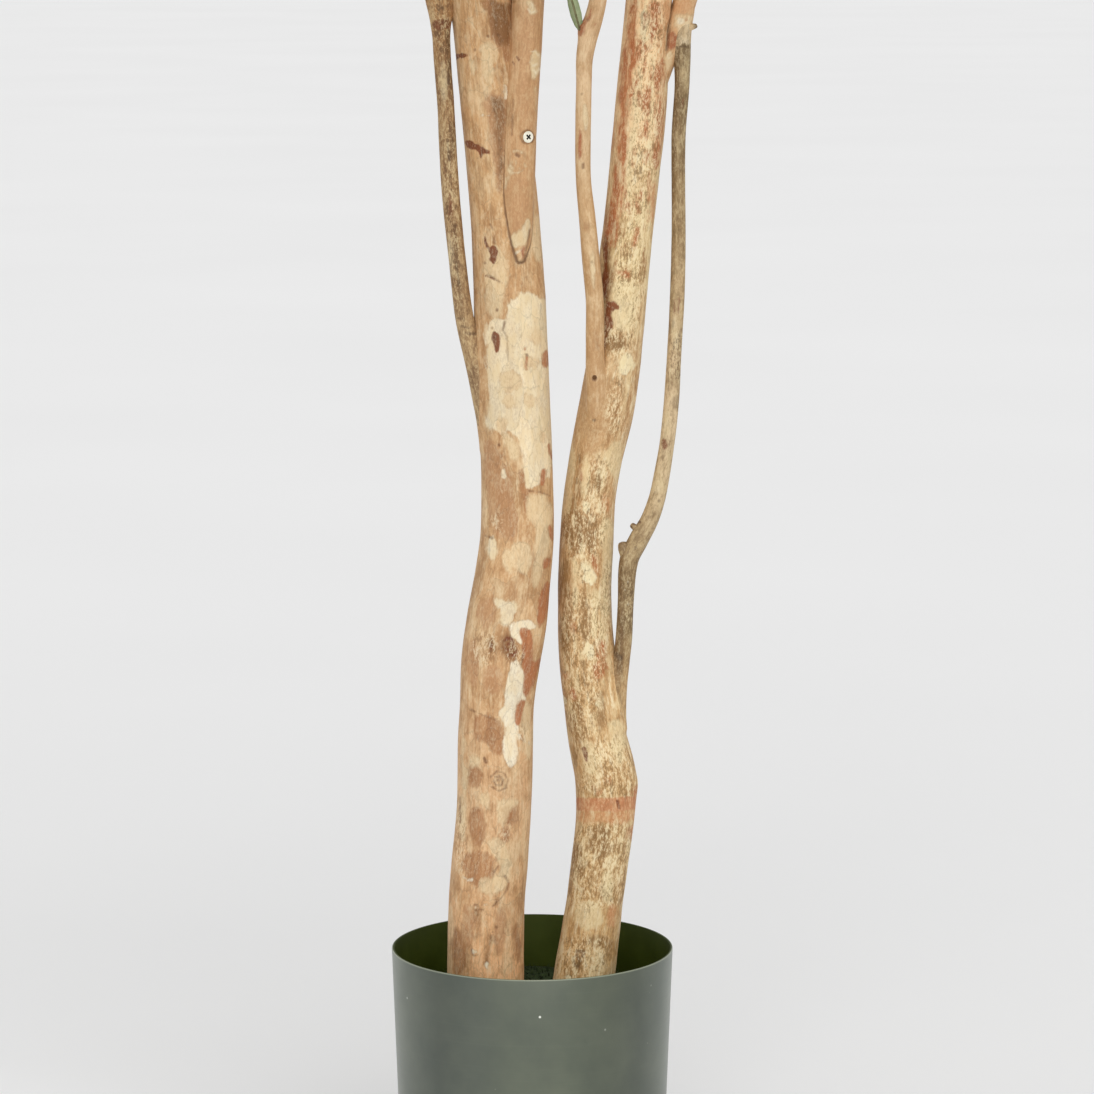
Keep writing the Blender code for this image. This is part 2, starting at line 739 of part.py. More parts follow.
def tip_stem(stations, rng):
    """The stem pushed into a bough's end: it carries the bough on and bends outwards."""
    centre, _ = bough_at(stations, stations[-1][0])
    tangent = bough_tangent(stations, stations[-1][0])
    outward = Vector((p / r for p, r in zip(centre - CROWN_CENTRE, CROWN_RADII)))
    end_run = (tangent + TIP_OUTWARD * outward).normalized()
    mouth = centre + SOCKET_PROUD * tangent
    return centre - SOCKET_DEPTH * tangent, grow_stem(mouth, tangent, end_run, rng)


def side_stem(stations, height, heading, lean, proud, rng):
    """A stem pushed into a bough's side, at a lean from it, that bends to its heading once it is proud."""
    lean = math.radians(lean)
    centre, radius = bough_at(stations, height)
    tangent = bough_tangent(stations, height)
    level = Vector((math.cos(math.radians(heading)), math.sin(math.radians(heading)), 0.0))
    side = (level - level.dot(tangent) * tangent).normalized()
    start_run = math.sin(lean) * side + math.cos(lean) * tangent
    share = max(0.0, height - RISE_HEIGHTS[0]) / (RISE_HEIGHTS[1] - RISE_HEIGHTS[0])
    rise = STEM_RISE_LOW + (STEM_RISE_HIGH - STEM_RISE_LOW) * share
    rise = math.radians(rise + rng.uniform(-RISE_SPREAD, RISE_SPREAD))
    end_run = math.cos(rise) * level + math.sin(rise) * Vector((0, 0, 1))
    root = centre + max(0.0, radius - SOCKET_DEPTH) / math.sin(lean) * start_run
    mouth = centre + (radius + proud) / math.sin(lean) * start_run
    return root, grow_stem(mouth, start_run, end_run, rng)


def grow_twigs(stem, rng):
    """Side twigs that turn about the stem by the golden angle."""
    twigs = []
    roll = rng.uniform(0, 360)
    for k, share in enumerate(TWIG_PLACES):
        start, tangent = along(stem.line, share)
        across = tangent.orthogonal().normalized()
        across.rotate(Matrix.Rotation(math.radians(roll + GOLDEN_ANGLE * k), 3, tangent))
        run = tangent.copy()
        spread = TWIG_SPREAD + rng.uniform(-TWIG_SPREAD_DRAW, TWIG_SPREAD_DRAW)
        run.rotate(Matrix.Rotation(math.radians(spread), 3, across))
        length = TWIG_SHARE * stem.length * (TWIG_SHORTENING[0] - TWIG_SHORTENING[1] * share)
        end = start + length * run
        end.z = max(end.z, TWIG_FLOOR)
        guide = start + 0.5 * length * run.lerp(tangent, TWIG_BEND)
        twigs.append(Shoot(arch(start, guide, end, TWIG_SEGMENTS), length, TWIG_BARE))
    return twigs


def ball_line(line, step=BALL_STEP):
    """Points along a line, no further apart than a step."""
    points = []
    for a, b in zip(line, line[1:]):
        count = max(1, math.ceil((b - a).length / step))
        points += [a.lerp(b, k / count) for k in range(1, count + 1)]
    return points


def plan_sprays(taken):
    """Every spray's stem and twigs. Where others are in the way, a stem turns and a twig is left out."""
    boughs = all_boughs()
    plans = [(bough, height, heading) for bough, height, heading in SIDE_SPRAYS]
    plans += [(bough, None, None) for bough in CROWN_TIPS]
    sprays = []
    for number, (bough, height, heading) in enumerate(plans, 1):
        owner = f"spray_{number:02d}"
        lean, proud = (FORK_LEAN, FORK_PROUD) if number == 1 else (SOCKET_LEAN, SOCKET_PROUD)
        for attempt in range(TURN_TRIES):
            rng = random.Random(100 * number + attempt)
            if height is None:
                root, stem = tip_stem(boughs[bough], rng)
            else:
                turned_heading = heading + TURN_STEP * attempt
                root, stem = side_stem(boughs[bough], height, turned_heading, lean, proud, rng)
            # The first balls lie at the mouth, against the stem's own bough
            free = ball_line(stem.line)[2:]
            if taken.clear(free, STEM_RADIUS + STEM_ROOM, owner):
                break
        taken.add(free, STEM_RADIUS, owner)
        sprays.append(Spray(number, bough, root, [stem]))
    for spray in sprays:
        owner = f"spray_{spray.number:02d}"
        for twig in grow_twigs(spray.shoots[0], random.Random(spray.number)):
            free = ball_line(twig.line)
            if taken.clear(free, TWIG_RADIUS + TWIG_ROOM, owner):
                taken.add(free, TWIG_RADIUS, owner)
                spray.shoots.append(twig)
    return sprays


def leaf_spots(shoot, seed):
    """Every (pair, leaf) on a shoot. The last one is the single leaf at its tip."""
    spots = []
    count = max(2, round(shoot.length * (1 - shoot.bare) / LEAF_SPACING))
    for k in range(count + 1):
        rng = random.Random(1000 * seed + k)
        place, tangent = along(shoot.line, shoot.bare + (1 - shoot.bare) * k / count)
        across = tangent.orthogonal().normalized()
        across.rotate(Matrix.Rotation(math.radians(90 * k + 25 * seed), 3, tangent))
        if k == count:
            root = place - TIP_LEAF_ROOT * tangent
            spots.append((k, Leaf(root, tangent, across, rng.uniform(*TIP_LEAF_SIZES))))
            break
        for sign in (1, -1):
            lean = math.radians(rng.uniform(*LEAF_LEAN))
            run = math.cos(lean) * tangent + sign * math.sin(lean) * across
            run = (run + Vector((0, 0, rng.uniform(*LEAF_LIFT)))).normalized()
            facing = (tangent - tangent.dot(run) * run).normalized()
            spots.append((k, Leaf(place, run, facing, rng.uniform(*LEAF_SIZES))))
    return spots


def on_leaf(leaf, share):
    """A point on the middle of a leaf, which arches slightly backwards."""
    return leaf.place + LEAF_LENGTH * leaf.size * (share * leaf.run - LEAF_ARCH * share**2 * leaf.facing)


def leaf_balls(leaf):
    return ball_line([on_leaf(leaf, share) for share in (0.0, 0.5, 1.0)], LEAF_BALL_STEP)


def leaf_is_clear(leaf, owner, taken):
    balls = leaf_balls(leaf)
    return min(ball.z for ball in balls) > LEAF_FLOOR and taken.clear(balls, LEAF_WIDTH / 2, owner)


def add_leaves(spray, taken):
    """Some of the pairs of each shoot and its tip's leaf, where they stay clear of every other piece."""
    owner = f"spray_{spray.number:02d}"
    for k, shoot in enumerate(spray.shoots):
        spots = leaf_spots(shoot, 10 * spray.number + k)
        last = spots[-1][0]
        stride = TWIG_LEAF_STRIDE if k else LEAF_STRIDE
        for pair, leaf in spots:
            if (pair == last or pair % stride == 1) and leaf_is_clear(leaf, owner, taken):
                shoot.leaves.append(leaf)
                taken.add(leaf_balls(leaf), LEAF_WIDTH / 2, owner)


def fork_leaf(spray):
    """The leaf that hangs in front of the lowest spray's stem."""
    place = spray.root.lerp(spray.shoots[0].line[0], FORK_LEAF_SHARE)
    run = Vector(FORK_LEAF_RUN).normalized()
    facing = Vector(FORK_LEAF_FACING)
    return Leaf(place, run, (facing - facing.dot(run) * run).normalized(), 1.0)


def leaf_solid(leaf):
    """A lance-shaped blade: its upper face is flat across, and a rib below makes it thickest in its middle."""
    bm = bmesh.new()
    side = 0.5 * LEAF_WIDTH * leaf.size * leaf.run.cross(leaf.facing).normalized()
    root = bm.verts.new(on_leaf(leaf, 0.0))
    tip = bm.verts.new(on_leaf(leaf, 1.0))
    right = [bm.verts.new(on_leaf(leaf, share) + width * side) for share, width in LEAF_SHOULDERS]
    left = [bm.verts.new(on_leaf(leaf, share) - width * side) for share, width in LEAF_SHOULDERS]
    rib = bm.verts.new(on_leaf(leaf, LEAF_RIB_SHARE) - LEAF_THICKNESS * leaf.facing)
    bm.faces.new((root, right[0], left[0]))
    bm.faces.new((right[0], right[1], left[0]))
    bm.faces.new((right[1], left[1], left[0]))
    bm.faces.new((right[1], tip, left[1]))
    outline = [root, right[0], right[1], tip, left[1], left[0]]
    for a, b in zip(outline, outline[1:] + outline[:1]):
        bm.faces.new((b, a, rib))
    return solid("leaf", bm, smooth=False)


def build_spray(spray):
    """Stem, twigs and leaves joined in one solid."""
    line = [spray.root, *spray.shoots[0].line]
    slim = (STEM_TIP_RADIUS - STEM_RADIUS) / STEM_SEGMENTS
    taper = [STEM_RADIUS + slim * k for k in range(STEM_SEGMENTS + 1)]
    name = f"spray_{spray.number:02d}"
    made = solid(name, tube(line, [STEM_RADIUS, *taper], STEM_SIDES), material("leaf", LEAF_GREEN, 0.6))
    parts = []
    for twig in spray.shoots[1:]:
        radii = [TWIG_RADIUS, TWIG_RADIUS, 0.8 * TWIG_RADIUS]
        parts.append(solid("twig", tube(twig.line, radii, TWIG_SIDES)))
    for shoot in spray.shoots:
        parts += [leaf_solid(leaf) for leaf in shoot.leaves]
    return combine(made, parts, "UNION", "MANIFOLD")


def build_tree(sprays):
    tan = material("smooth_bark", BARK_TAN, 0.65)
    grey = material("twig_bark", BARK_GREY, 0.75)
    left_seats = [("limb_left", LIMB_SIDES), ("branch_left", BRANCH_SIDES)]
    right_seats = [("limb_right", LIMB_SIDES), ("branch_middle", BRANCH_SIDES), ("branch_right", BRANCH_SIDES)]
    trunk_left = build_wood("trunk_left", TRUNK_SIDES, tan, left_seats, sprays)
    trunk_right = build_wood("trunk_right", TRUNK_SIDES, tan, right_seats, sprays)
    limb_left = build_wood("limb_left", LIMB_SIDES, tan, [], sprays)
    build_wood("limb_right", LIMB_SIDES, tan, [("branch_right", BRANCH_SIDES)], sprays)
    build_wood("branch_left", BRANCH_SIDES, grey, [], sprays)
    branch_middle = build_wood("branch_middle", BRANCH_SIDES, tan, [], sprays)
    build_wood("branch_right", BRANCH_SIDES, grey, [], sprays)
    screw_sizes = (SCREW_HEAD_RADIUS, SCREW_HEAD_DEPTH, SCREW_SHANK_RADIUS, SCREW_LENGTH)
    screw_place = fixing_place(LIMB_LEFT, SCREW_HEIGHT, SCREW_TURN)
    zinc = material("zinc_plate", ZINC_WHITE, 0.35, 0.8)
    build_fixing("screw", screw_place, screw_sizes, zinc, SCREW_RECESS, [limb_left, trunk_left])
    nail_sizes = (NAIL_HEAD_RADIUS, NAIL_HEAD_DEPTH, NAIL_SHANK_RADIUS, NAIL_LENGTH)
    nail_place = fixing_place(BRANCH_MIDDLE, NAIL_HEIGHT, NAIL_TURN)
    rust = material("rusty_steel", NAIL_BROWN, 0.7, 0.6)
    build_fixing("nail", nail_place, nail_sizes, rust, 0.0, [branch_middle, trunk_right])


def main():
    clear_scene()
    taken = Taken()
    for name, stations in all_boughs().items():
        low, high = stations[0][0], stations[-1][0]
        steps = math.ceil((high - low) / BOUGH_BALL_STEP)
        for k in range(steps + 1):
            centre, radius = bough_at(stations, low + (high - low) * k / steps)
            taken.add([centre], radius, name)
    sprays = plan_sprays(taken)
    build_pot()
    build_ballast()
    build_moss()
    build_tree(sprays)
    sprays[0].shoots[0].leaves.append(fork_leaf(sprays[0]))
    for spray in sprays:
        add_leaves(spray, taken)
        build_spray(spray)


main()
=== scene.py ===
"""Potted olive tree: natural-wood trunks with flaked bark, boughs let into them, leafy sprays, and a plain pot.

Metres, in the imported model's frame: +Z up, origin at the centre of the pot's underside, front towards -Y.
"""

import math
import random
from dataclasses import dataclass, field
from functools import partial

import bmesh
import bpy
import numpy as np
from mathutils import Matrix, Vector, noise


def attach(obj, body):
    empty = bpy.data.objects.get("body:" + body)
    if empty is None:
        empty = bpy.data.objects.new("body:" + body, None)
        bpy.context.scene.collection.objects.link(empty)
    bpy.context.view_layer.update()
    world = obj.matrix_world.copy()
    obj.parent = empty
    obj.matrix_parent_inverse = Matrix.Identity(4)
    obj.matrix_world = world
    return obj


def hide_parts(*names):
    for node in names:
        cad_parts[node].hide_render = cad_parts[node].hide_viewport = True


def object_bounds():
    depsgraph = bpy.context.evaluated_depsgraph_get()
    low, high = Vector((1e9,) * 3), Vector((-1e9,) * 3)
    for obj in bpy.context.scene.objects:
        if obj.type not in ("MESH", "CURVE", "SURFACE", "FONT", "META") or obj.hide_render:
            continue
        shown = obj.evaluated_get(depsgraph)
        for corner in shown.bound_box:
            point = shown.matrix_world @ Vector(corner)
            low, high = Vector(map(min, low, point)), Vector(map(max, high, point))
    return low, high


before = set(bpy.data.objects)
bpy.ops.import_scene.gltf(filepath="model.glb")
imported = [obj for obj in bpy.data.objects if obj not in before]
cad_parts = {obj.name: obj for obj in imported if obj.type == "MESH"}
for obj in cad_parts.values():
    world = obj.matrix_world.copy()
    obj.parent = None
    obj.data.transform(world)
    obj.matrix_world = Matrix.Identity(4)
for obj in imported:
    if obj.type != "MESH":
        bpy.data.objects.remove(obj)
cad_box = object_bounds()

# The view: a long lens about four metres away, a little above the middle of the trunks
PICTURE = 1094
LENS = 150
SENSOR = 36
CAMERA_PLACE = Vector((0.0131, -3.9602, 1.1903))
CAMERA_DIP = math.radians(8.627)

FIT_GAP = 0.0003
SMOOTH_ANGLE = math.radians(40)
MERGE_GAP = 1e-6
TINY = 1e-9

# The pot: a thin moulded shell with a slight draft
POT_HEIGHT = 0.230
POT_RIM_RADIUS = 0.125
POT_BASE_RADIUS = 0.1165
POT_WALL = 0.0024
POT_FLOOR = 0.0035
POT_EDGE = 0.0008
POT_RING_SIDES = 128
# Its looks: noises as scale, detail and roughness, bumps as strength and depth, and the spans over which things fade
# in, which are metres from the centre of a pale speck painted as a glint, and metres below the rim at its rubbed lip,
# which also carries a painted highlight
POT_CLOUDS = (14, 4, 0.6)
POT_CLOUD_STOPS = (0.35, 0.65)
POT_GRAIN = (700, 2, 0.5)
POT_BUMP = (0.12, 0.0003)
RUB_STRETCH = (6, 6, 420)
RUB_NOISE = (1.0, 3, 0.7)
RUB_SPAN = (0.56, 0.75)
RUB_STRENGTH = 0.05
SHEEN_SPAN = (0.3, 0.8)
SHEEN_STRAY = (-0.02, 0.03)
DUST_SCALE = 42
DUST_SPAN = (0.045, 0.02)
DUST_STRENGTH = 0.5
GLINT_SPAN = (0.0014, 0.0007)
GLINT_TONE = "#E4E6DC"
LIP_SPAN = (0.0012, 0.0004)
LIP_STRENGTH = 0.55
INNER_WALL_SPECULAR = 0.15
# Painted studio reflections: upright bands of its outside as factors of its colour, from its left side to its right,
# and single pale specks painted as glints
POT_REFLECTION_BANDS = (
    "0 #FFFFFF, .06 #DEDEDE, .17 #BDBDBD, .31 #C9C9C6, .42 #D1D1C8, .62 #D4D4C9, .78 #C5C5BC, .87 #C2C2BE,"
    " .95 #DEDEDE, 1 #FFFFFF"
)
POT_GLINT_SPECKS = [
    ((0.007, -0.124, 0.197), 1.0), ((0.064, -0.106, 0.181), 0.25),
    ((-0.110, -0.057, 0.197), 0.4), ((0.105, -0.068, 0.211), 0.25),
]

# The moss cover. Its waves are in radians a metre: along x, along y and across both, and where the first one starts
MOSS_TOP = 0.182
MOSS_THICKNESS = 0.012
MOSS_BUMP = 0.0022
MOSS_WAVES = (47, 61, 83)
MOSS_WAVE_START = 1.3
MOSS_FINE_BUMP = 0.0018
MOSS_FINE_WAVES = 160
MOSS_RINGS = 26
MOSS_SIDES = 90
MOSS_SEED = 31
MOSS_STRANDS = 1500
MOSS_STRAND_LENGTH = (0.004, 0.009)
MOSS_STRAND_RADIUS = 0.0006
MOSS_STRAND_LEAN = (0.1, 1.1)
MOSS_STRAND_FOOT = 0.001
MOSS_BARE_EDGE = 0.004

# Every bough as a row of stations: height, x, y and radius in millimetres. Stations are smoothly joined.
STATIONS = {
    "trunk_left": """
        60 -43 -6 34.5; 204 -41.8 -6 34.2; 272 -40.3 -7 33.6; 308 -37.6 -8 33.6; 363 -33.5 -9 33.1; 417 -32.5 -10 33;
        453 -31.1 -10 32.6; 489 -28 -10 34.7; 524 -22.6 -8 35.4; 560 -17.3 -6 33.7; 596 -13.3 -4 32.4; 631 -12.8 -2
        31.9; 684 -14.1 1 31.4; 720 -15.8 2 31.3; 807 -19.2 4 31.2; 860 -22.4 4 30.1; 894 -24.7 4 29.7; 946 -29.9 3
        29; 998 -35 2 28.7; 1067 -42.6 0 27.1; 1200 -60 2 23.2; 1340 -75 12 18.6; 1480 -78 26 14.2; 1620 -68 36 10.4;
        1740 -52 40 7""",
    "trunk_right": """
        60 26 12 28; 200 46.1 12 27.3; 251 53.5 12 25.6; 272 56.3 12 24.9; 308 60.6 12 25.2; 345 64.9 12 26; 381 65.3
        12 27.3; 417 57.7 12 25.9; 453 52.4 12 25; 489 48.3 12 24.6; 542 46.5 12 23.6; 596 48.2 12 23.6; 631 50.3 12
        23.1; 667 56 12 23.5; 702 63.4 12 24.3; 737 69.4 12 23.8; 772 74.2 12 22.8; 842 81 12 22.3; 894 86.9 12 21.8;
        946 92 12 22.1; 981 94.9 12 21.9; 1015 97.4 12 21.1; 1067 101.5 12 20.2; 1200 108 14 17.8; 1340 110 10 15.2;
        1480 104 0 12.2; 1620 100 -10 9.2; 1760 106 -14 6.2""",
    "limb_left": """
        842 -11.4 -20.1 5.3; 860 -11.6 -17.2 10.8; 900 -12.2 -16.7 14.8; 946 -10.8 -16.3 14.8; 979 -9.3 -15.9 14.5;
        1028 -5.1 -13 13.9; 1067 -3 -13.5 13.7; 1200 6 -38 11.8; 1340 10 -82 9.8; 1470 2 -128 7.8; 1580 -10 -158 5.8""",
    "limb_right": """
        965 98.9 12 7.3; 998 108.9 12 9.3; 1016 114.2 11.5 9.6; 1033 120.6 11 9.9; 1050 128.1 10.5 10.1; 1067 132.8 10
        10.1; 1200 174 -6 9.6; 1340 212 -30 8.6; 1470 238 -54 7; 1570 252 -72 5.5""",
    "branch_left": """
        675 -34.6 -3 5.3; 702 -39.2 -4 6.8; 720 -43.6 -4 7.3; 755 -51.5 -5 7.3; 790 -58.9 -6 7.4; 842 -64.8 -7 7.3;
        912 -71.2 -8 7.6; 981 -74.8 -9 7.2; 1015 -77.3 -10 7.3; 1043 -78.7 -10 7.9; 1067 -80 -10 11.5; 1110 -91 -12
        8.8; 1220 -124 -16 8; 1340 -170 -12 6.8; 1450 -210 0 5.6""",
    "branch_middle": """
        695 53.4 -7 6.3; 722 55.2 -8.5 7.6; 740 55.2 -9.5 8.1; 774 55 -10 8.1; 809 54.6 -10.5 7.8; 844 51.2 -11 7.7;
        879 48.1 -12 7.2; 913 44.7 -13 6.5; 948 44.1 -14.5 6.7; 999 44.9 -16.5 6.8; 1016 45.3 -17.5 7.2; 1033 47.9
        -18.5 8; 1051 53 -19 8; 1068 56.9 -20 7.6; 1200 74 -48 6.6; 1330 93 -100 5.8; 1440 104 -150 4.8""",
    "branch_right": """
        425 74.9 8 5.3; 453 76.4 6 6.3; 489 79.7 2 6.7; 507 81.2 0 7; 542 82.6 -2 7; 578 85.2 -3 8.3; 596 93.4 -3 8.8;
        613 102.6 -3 7.9; 631 109.1 -2 7.3; 649 113 0 7; 684 118.6 3 6.5; 720 122.2 6 6.7; 755 124.2 9 6.3; 807 126.8
        11 6.4; 860 127.9 12 6.1; 946 127.6 11 6; 998 131.4 8 6.2; 1033 133 5 6.4; 1056 133.2 7 5.5""",
    "fork_left_front": """
        1235 -63.5 0 9; 1290 -95 -28 9.2; 1380 -140 -75 8.2; 1470 -175 -118 6.8; 1550 -200 -150 5.4""",
    "fork_left_back": """
        1300 -70 12 9; 1370 -95 52 9; 1460 -118 105 7.8; 1550 -132 155 6.4; 1620 -140 190 5.2""",
    "fork_right_back": """
        1225 108 16 9; 1300 116 60 9.2; 1390 120 115 8; 1480 118 168 6.6; 1560 115 210 5.4""",
    "fork_right_top": """
        1420 107 3 8; 1480 140 16 7.8; 1570 178 32 6.8; 1670 204 42 5.4""",
    "fork_limb_right": """
        1190 172 -4 6.6; 1260 205 26 6.6; 1350 240 70 5.8; 1440 262 108 4.8""",
}
BOUGHS = {
    name: [tuple(round(float(part) / 1000, 4) for part in row.split()) for row in text.split(";")]
    for name, text in STATIONS.items()
}
# Forks grew with their bough, so they are one piece with it
FORKS = {
    "fork_left_front": "trunk_left",
    "fork_left_back": "trunk_left",
    "fork_right_back": "trunk_right",
    "fork_right_top": "trunk_right",
    "fork_limb_right": "limb_right",
}
TANGENT_STEP = 0.004

# Twig stubs on the long right-hand branch: place, direction, length and radius, and how they thin out
STUBS = [
    ((0.0838, -0.003, 0.572), (-0.20, -0.05, 0.98), 0.0225, 0.0052),
    ((0.0988, -0.003, 0.600), (-0.75, -0.10, 0.65), 0.0155, 0.0032),
    ((0.1326, 0.005, 1.042), (0.95, -0.10, 0.25), 0.0105, 0.0017),
]
STUB_RINGS = [(0.0, 1.0), (0.25, 0.97), (0.5, 0.86), (0.75, 0.92), (0.93, 0.80), (1.0, 0.62), (1.03, 0.2)]

# The screw through the left limb and the nail through the middle branch, each turned from the front about its bough
SCREW_HEIGHT = 0.9507
SCREW_TURN = 32
SCREW_LENGTH = 0.050
SCREW_HEAD_RADIUS = 0.0050
SCREW_HEAD_DEPTH = 0.0026
SCREW_SHANK_RADIUS = 0.0020
SCREW_RIM_SHARE = 0.12
SCREW_RECESS = 0.0015
NAIL_HEIGHT = 0.7414
NAIL_TURN = -5
NAIL_LENGTH = 0.032
NAIL_HEAD_RADIUS = 0.0019
NAIL_HEAD_DEPTH = 0.0010
NAIL_SHANK_RADIUS = 0.0009
# A fixing's seat as a share of its bough's radius, and its head's edge and crown as shares of the head
FIXING_SEAT = 0.97
FIXING_PROUD = 0.0004
FIXING_RING_SIDES = 40
HEAD_EDGE_SHARE = 0.3
HEAD_CROWN_SHARE = 0.94
HEAD_CROWN = ((0.5, 0.0002), (0.0, 0.0003))
# The screw's cross recess: its turn, its arms' length and width as shares of the head's radius, and of that their foot
RECESS_TURN = 48
RECESS_SPAN = 1.35
RECESS_WIDTH = 0.36
RECESS_FOOT = (0.55, 0.7)

# The crown's outline is half of an ellipsoid's, with a level floor
CROWN_CENTRE = Vector((0.025, 0.0, 1.55))
CROWN_RADII = Vector((0.47, 0.45, 0.54))
CROWN_FLOOR = 1.150
LEAF_FLOOR = 1.100
# Each side spray: its bough, its height there and its heading in degrees from +X. Every other bough's tip has one too.
SIDE_SPRAYS = """
    branch_middle 1.024 165; limb_right 1.130 345; trunk_right 1.175 50; trunk_left 1.130 85; trunk_left 1.185 140;
    branch_left 1.150 178; limb_left 1.170 222; branch_middle 1.180 275; limb_right 1.260 312;
    fork_limb_right 1.350 15; fork_right_back 1.400 40; fork_right_back 1.480 125; fork_left_back 1.430 165;
    branch_left 1.310 205; fork_left_front 1.430 250; limb_left 1.380 300; limb_right 1.430 340;
    fork_right_top 1.570 60; trunk_left 1.480 190; trunk_left 1.620 110; trunk_right 1.620 265; limb_left 1.500 215"""
BARE_TIP = "branch_right"
SOCKET_DEPTH = 0.012
SOCKET_PROUD = 0.002
SOCKET_LEAN = 53
# The lowest spray leaves its branch steeply and stays straight for longer, behind one leaf that hides its stem
FORK_LEAN = 27
FORK_PROUD = 0.014
FORK_LEAF_SHARE = 0.30
FORK_LEAF_RUN = (-0.26, -0.06, 0.96)
FORK_LEAF_FACING = (-0.30, -0.95, 0.0)
FORK_LEAF_SIZE = 0.76
FORK_LEAF_BACK = 0.0012
# Its stem is slim at the foot, where it looks like the leaf's rib
FORK_STEM_RADII = (0.0008, 0.0008, 0.0011, 0.0016)

# A spray: an arched stem, side twigs, and opposite pairs of leaves that turn a quarter from pair to pair
STEM_RADIUS = 0.0022
STEM_TIP_RADIUS = 0.0013
STEM_LENGTHS = (0.25, 0.40)
STEM_SEGMENTS = 4
STEM_LENGTH_SPREAD = (0.92, 1.0)
STEM_GUIDE = 0.42
STEM_BARE = 0.26
TIP_OUTWARD = 0.9
# A side stem's rise in degrees grows from low to high over these heights
STEM_RISES = (6, 58)
RISE_HEIGHTS = (1.15, 1.70)
RISE_SPREAD = 5
TWIG_RADIUS = 0.0014
TWIG_THINNING = 0.45
TWIG_PLACES = (0.36, 0.66)
TWIG_SHARE = 0.42
# How far a twig's spread strays in degrees, and how twigs shorten along the stem: the first ones', the finer ones'
TWIG_SPREAD_DRAWS = (6, 8)
TWIG_SHORTENINGS = ((1.15, 0.55), (1.15, 0.75))
TWIG_SEGMENTS = 2
TWIG_SPREAD = 42
TWIG_BEND = 0.3
TWIG_BARE = 0.34
TWIG_FLOOR = CROWN_FLOOR - 0.010
GOLDEN_ANGLE = 137.5
# Where others are in a stem's way, it turns by a step and is tried again
TURN_STEP = 23
TURN_TRIES = 10
# Steps between the seeds of two stems, of two sprays' shoots and of two shoots' leaves
STEM_SEED_STEP = 100
SHOOT_SEED_STEP = 10
LEAF_SEED_STEP = 1000
STEM_ROOM = 0.003
TWIG_ROOM = 0.002
BALL_STEP = 0.005
BOUGH_BALL_STEP = 0.008
LEAF_LENGTH = 0.064
LEAF_WIDTH = 0.0130
LEAF_SPACING = 0.024
LEAF_STRIDE = 3
TWIG_LEAF_STRIDE = 4
LEAF_ARCH = 0.06
# Degrees from one pair of leaves to the next, and from one shoot to the next
PAIR_TURN = 90
SHOOT_TURN = 25
LEAF_LEAN = (38, 60)
LEAF_LIFT = (-0.08, 0.16)
LEAF_SIZES = (0.80, 1.06)
TIP_LEAF_SIZES = (0.90, 1.08)
TIP_LEAF_ROOT = 0.002
LEAF_BALL_STEP = 0.008
CLEARANCE = 0.0015
MOST_BALL = 0.036
# Finer sprays: rings of stems and twigs, shorter twigs between the first ones, and leaves at every pair
STEM_RING_SIDES = 8
STEM_RINGS = 14
TWIG_RING_SIDES = 6
TWIG_RINGS = 8
MORE_TWIG_PLACES = (0.26, 0.46, 0.56, 0.76, 0.87)
MORE_TWIG_SEED = 5000
MORE_TWIG_LENGTHS = (0.8, 1.0)
LEAF_SEED = 7000
LEAF_TWIST = 0.35
LEAF_SWAY = 0.05
LEAF_DROOP = (0.7, 1.6)
# A leaf's looks: clouds and a tint that change its shade, slanted side veins and a rib
LEAF_CLOUDS = (190, 3, 0.6)
CLOUD_SPAN = (0.35, 0.65)
CLOUD_SHADES = (0.88, 1.12)
TINT_SHADES = (0.78, 1.22)
VEIN_SLANT = 0.16
VEIN_COUNT = 18.0
VEIN_WIDTH = 0.16
VEIN_STRENGTH = 0.22
RIB_SPAN = (0.16, 0.07)
LEAF_BUMP = (0.4, 0.0003)
TWIG_BANDS = (260, 3, 0.6)
UNDERSIDE = -0.3
BLADE_THICKNESS = 0.0005
BLADE_FOLD = 0.16
# A blade's rows along its length, with its half-width there as a share of the leaf's
BLADE_ROWS = (
    (0.0, 0.10), (0.07, 0.26), (0.20, 0.76), (0.38, 1.0), (0.57, 0.97), (0.75, 0.76), (0.90, 0.38), (1.0, 0.03),
)

# Wood: each bough's corners round, its ring spacing where it is seen, and its neighbours
SEEN_LOW = 0.185
SEEN_HIGH = 1.078
SEEN_MARGINS = (0.015, 0.012)
HIDDEN_SPACING = 0.007
FRONT_LEAN = 0.38
FORK_RING_SIDES = 24
STUB_RING_SIDES = 18
END_ROUND = 0.6
END_TURNS = (35, 62, 82)
WOOD = {
    "trunk_left": (112, 0.00135, ("limb_left", "branch_left")),
    "trunk_right": (96, 0.00135, ("limb_right", "branch_middle", "branch_right")),
    "limb_left": (56, 0.00135, ("trunk_left",)),
    "limb_right": (44, 0.00135, ("trunk_right", "branch_right")),
    "branch_left": (36, 0.0015, ("trunk_left",)),
    "branch_middle": (36, 0.0015, ("trunk_right",)),
    "branch_right": (36, 0.0015, ("trunk_right", "limb_right")),
}
# How dark the painted crease shade round a let-in bough is, by height, and the heights between which it grows together
# with the other
CREASE_SHADE_LINES = {
    "limb_left": ((0.84, 0.95), (0.93, 0.75), (0.975, 0.35), (1.07, 0.30)),
    "limb_right": ((1.005, 0.0), (1.02, 0.45), (1.045, 0.80), (1.07, 0.90)),
    "branch_left": ((0.69, 0.0), (0.72, 0.20), (0.76, 0.45)),
    "branch_middle": ((0.73, 0.0), (0.75, 0.20), (0.79, 0.55), (0.86, 0.30)),
    "branch_right": ((0.43, 0.0), (0.46, 0.40), (0.50, 0.60), (0.90, 0.0)),
}
GROWN = {"branch_left": (9, 9), "branch_middle": (0.735, 0.755), "branch_right": (9, 9)}
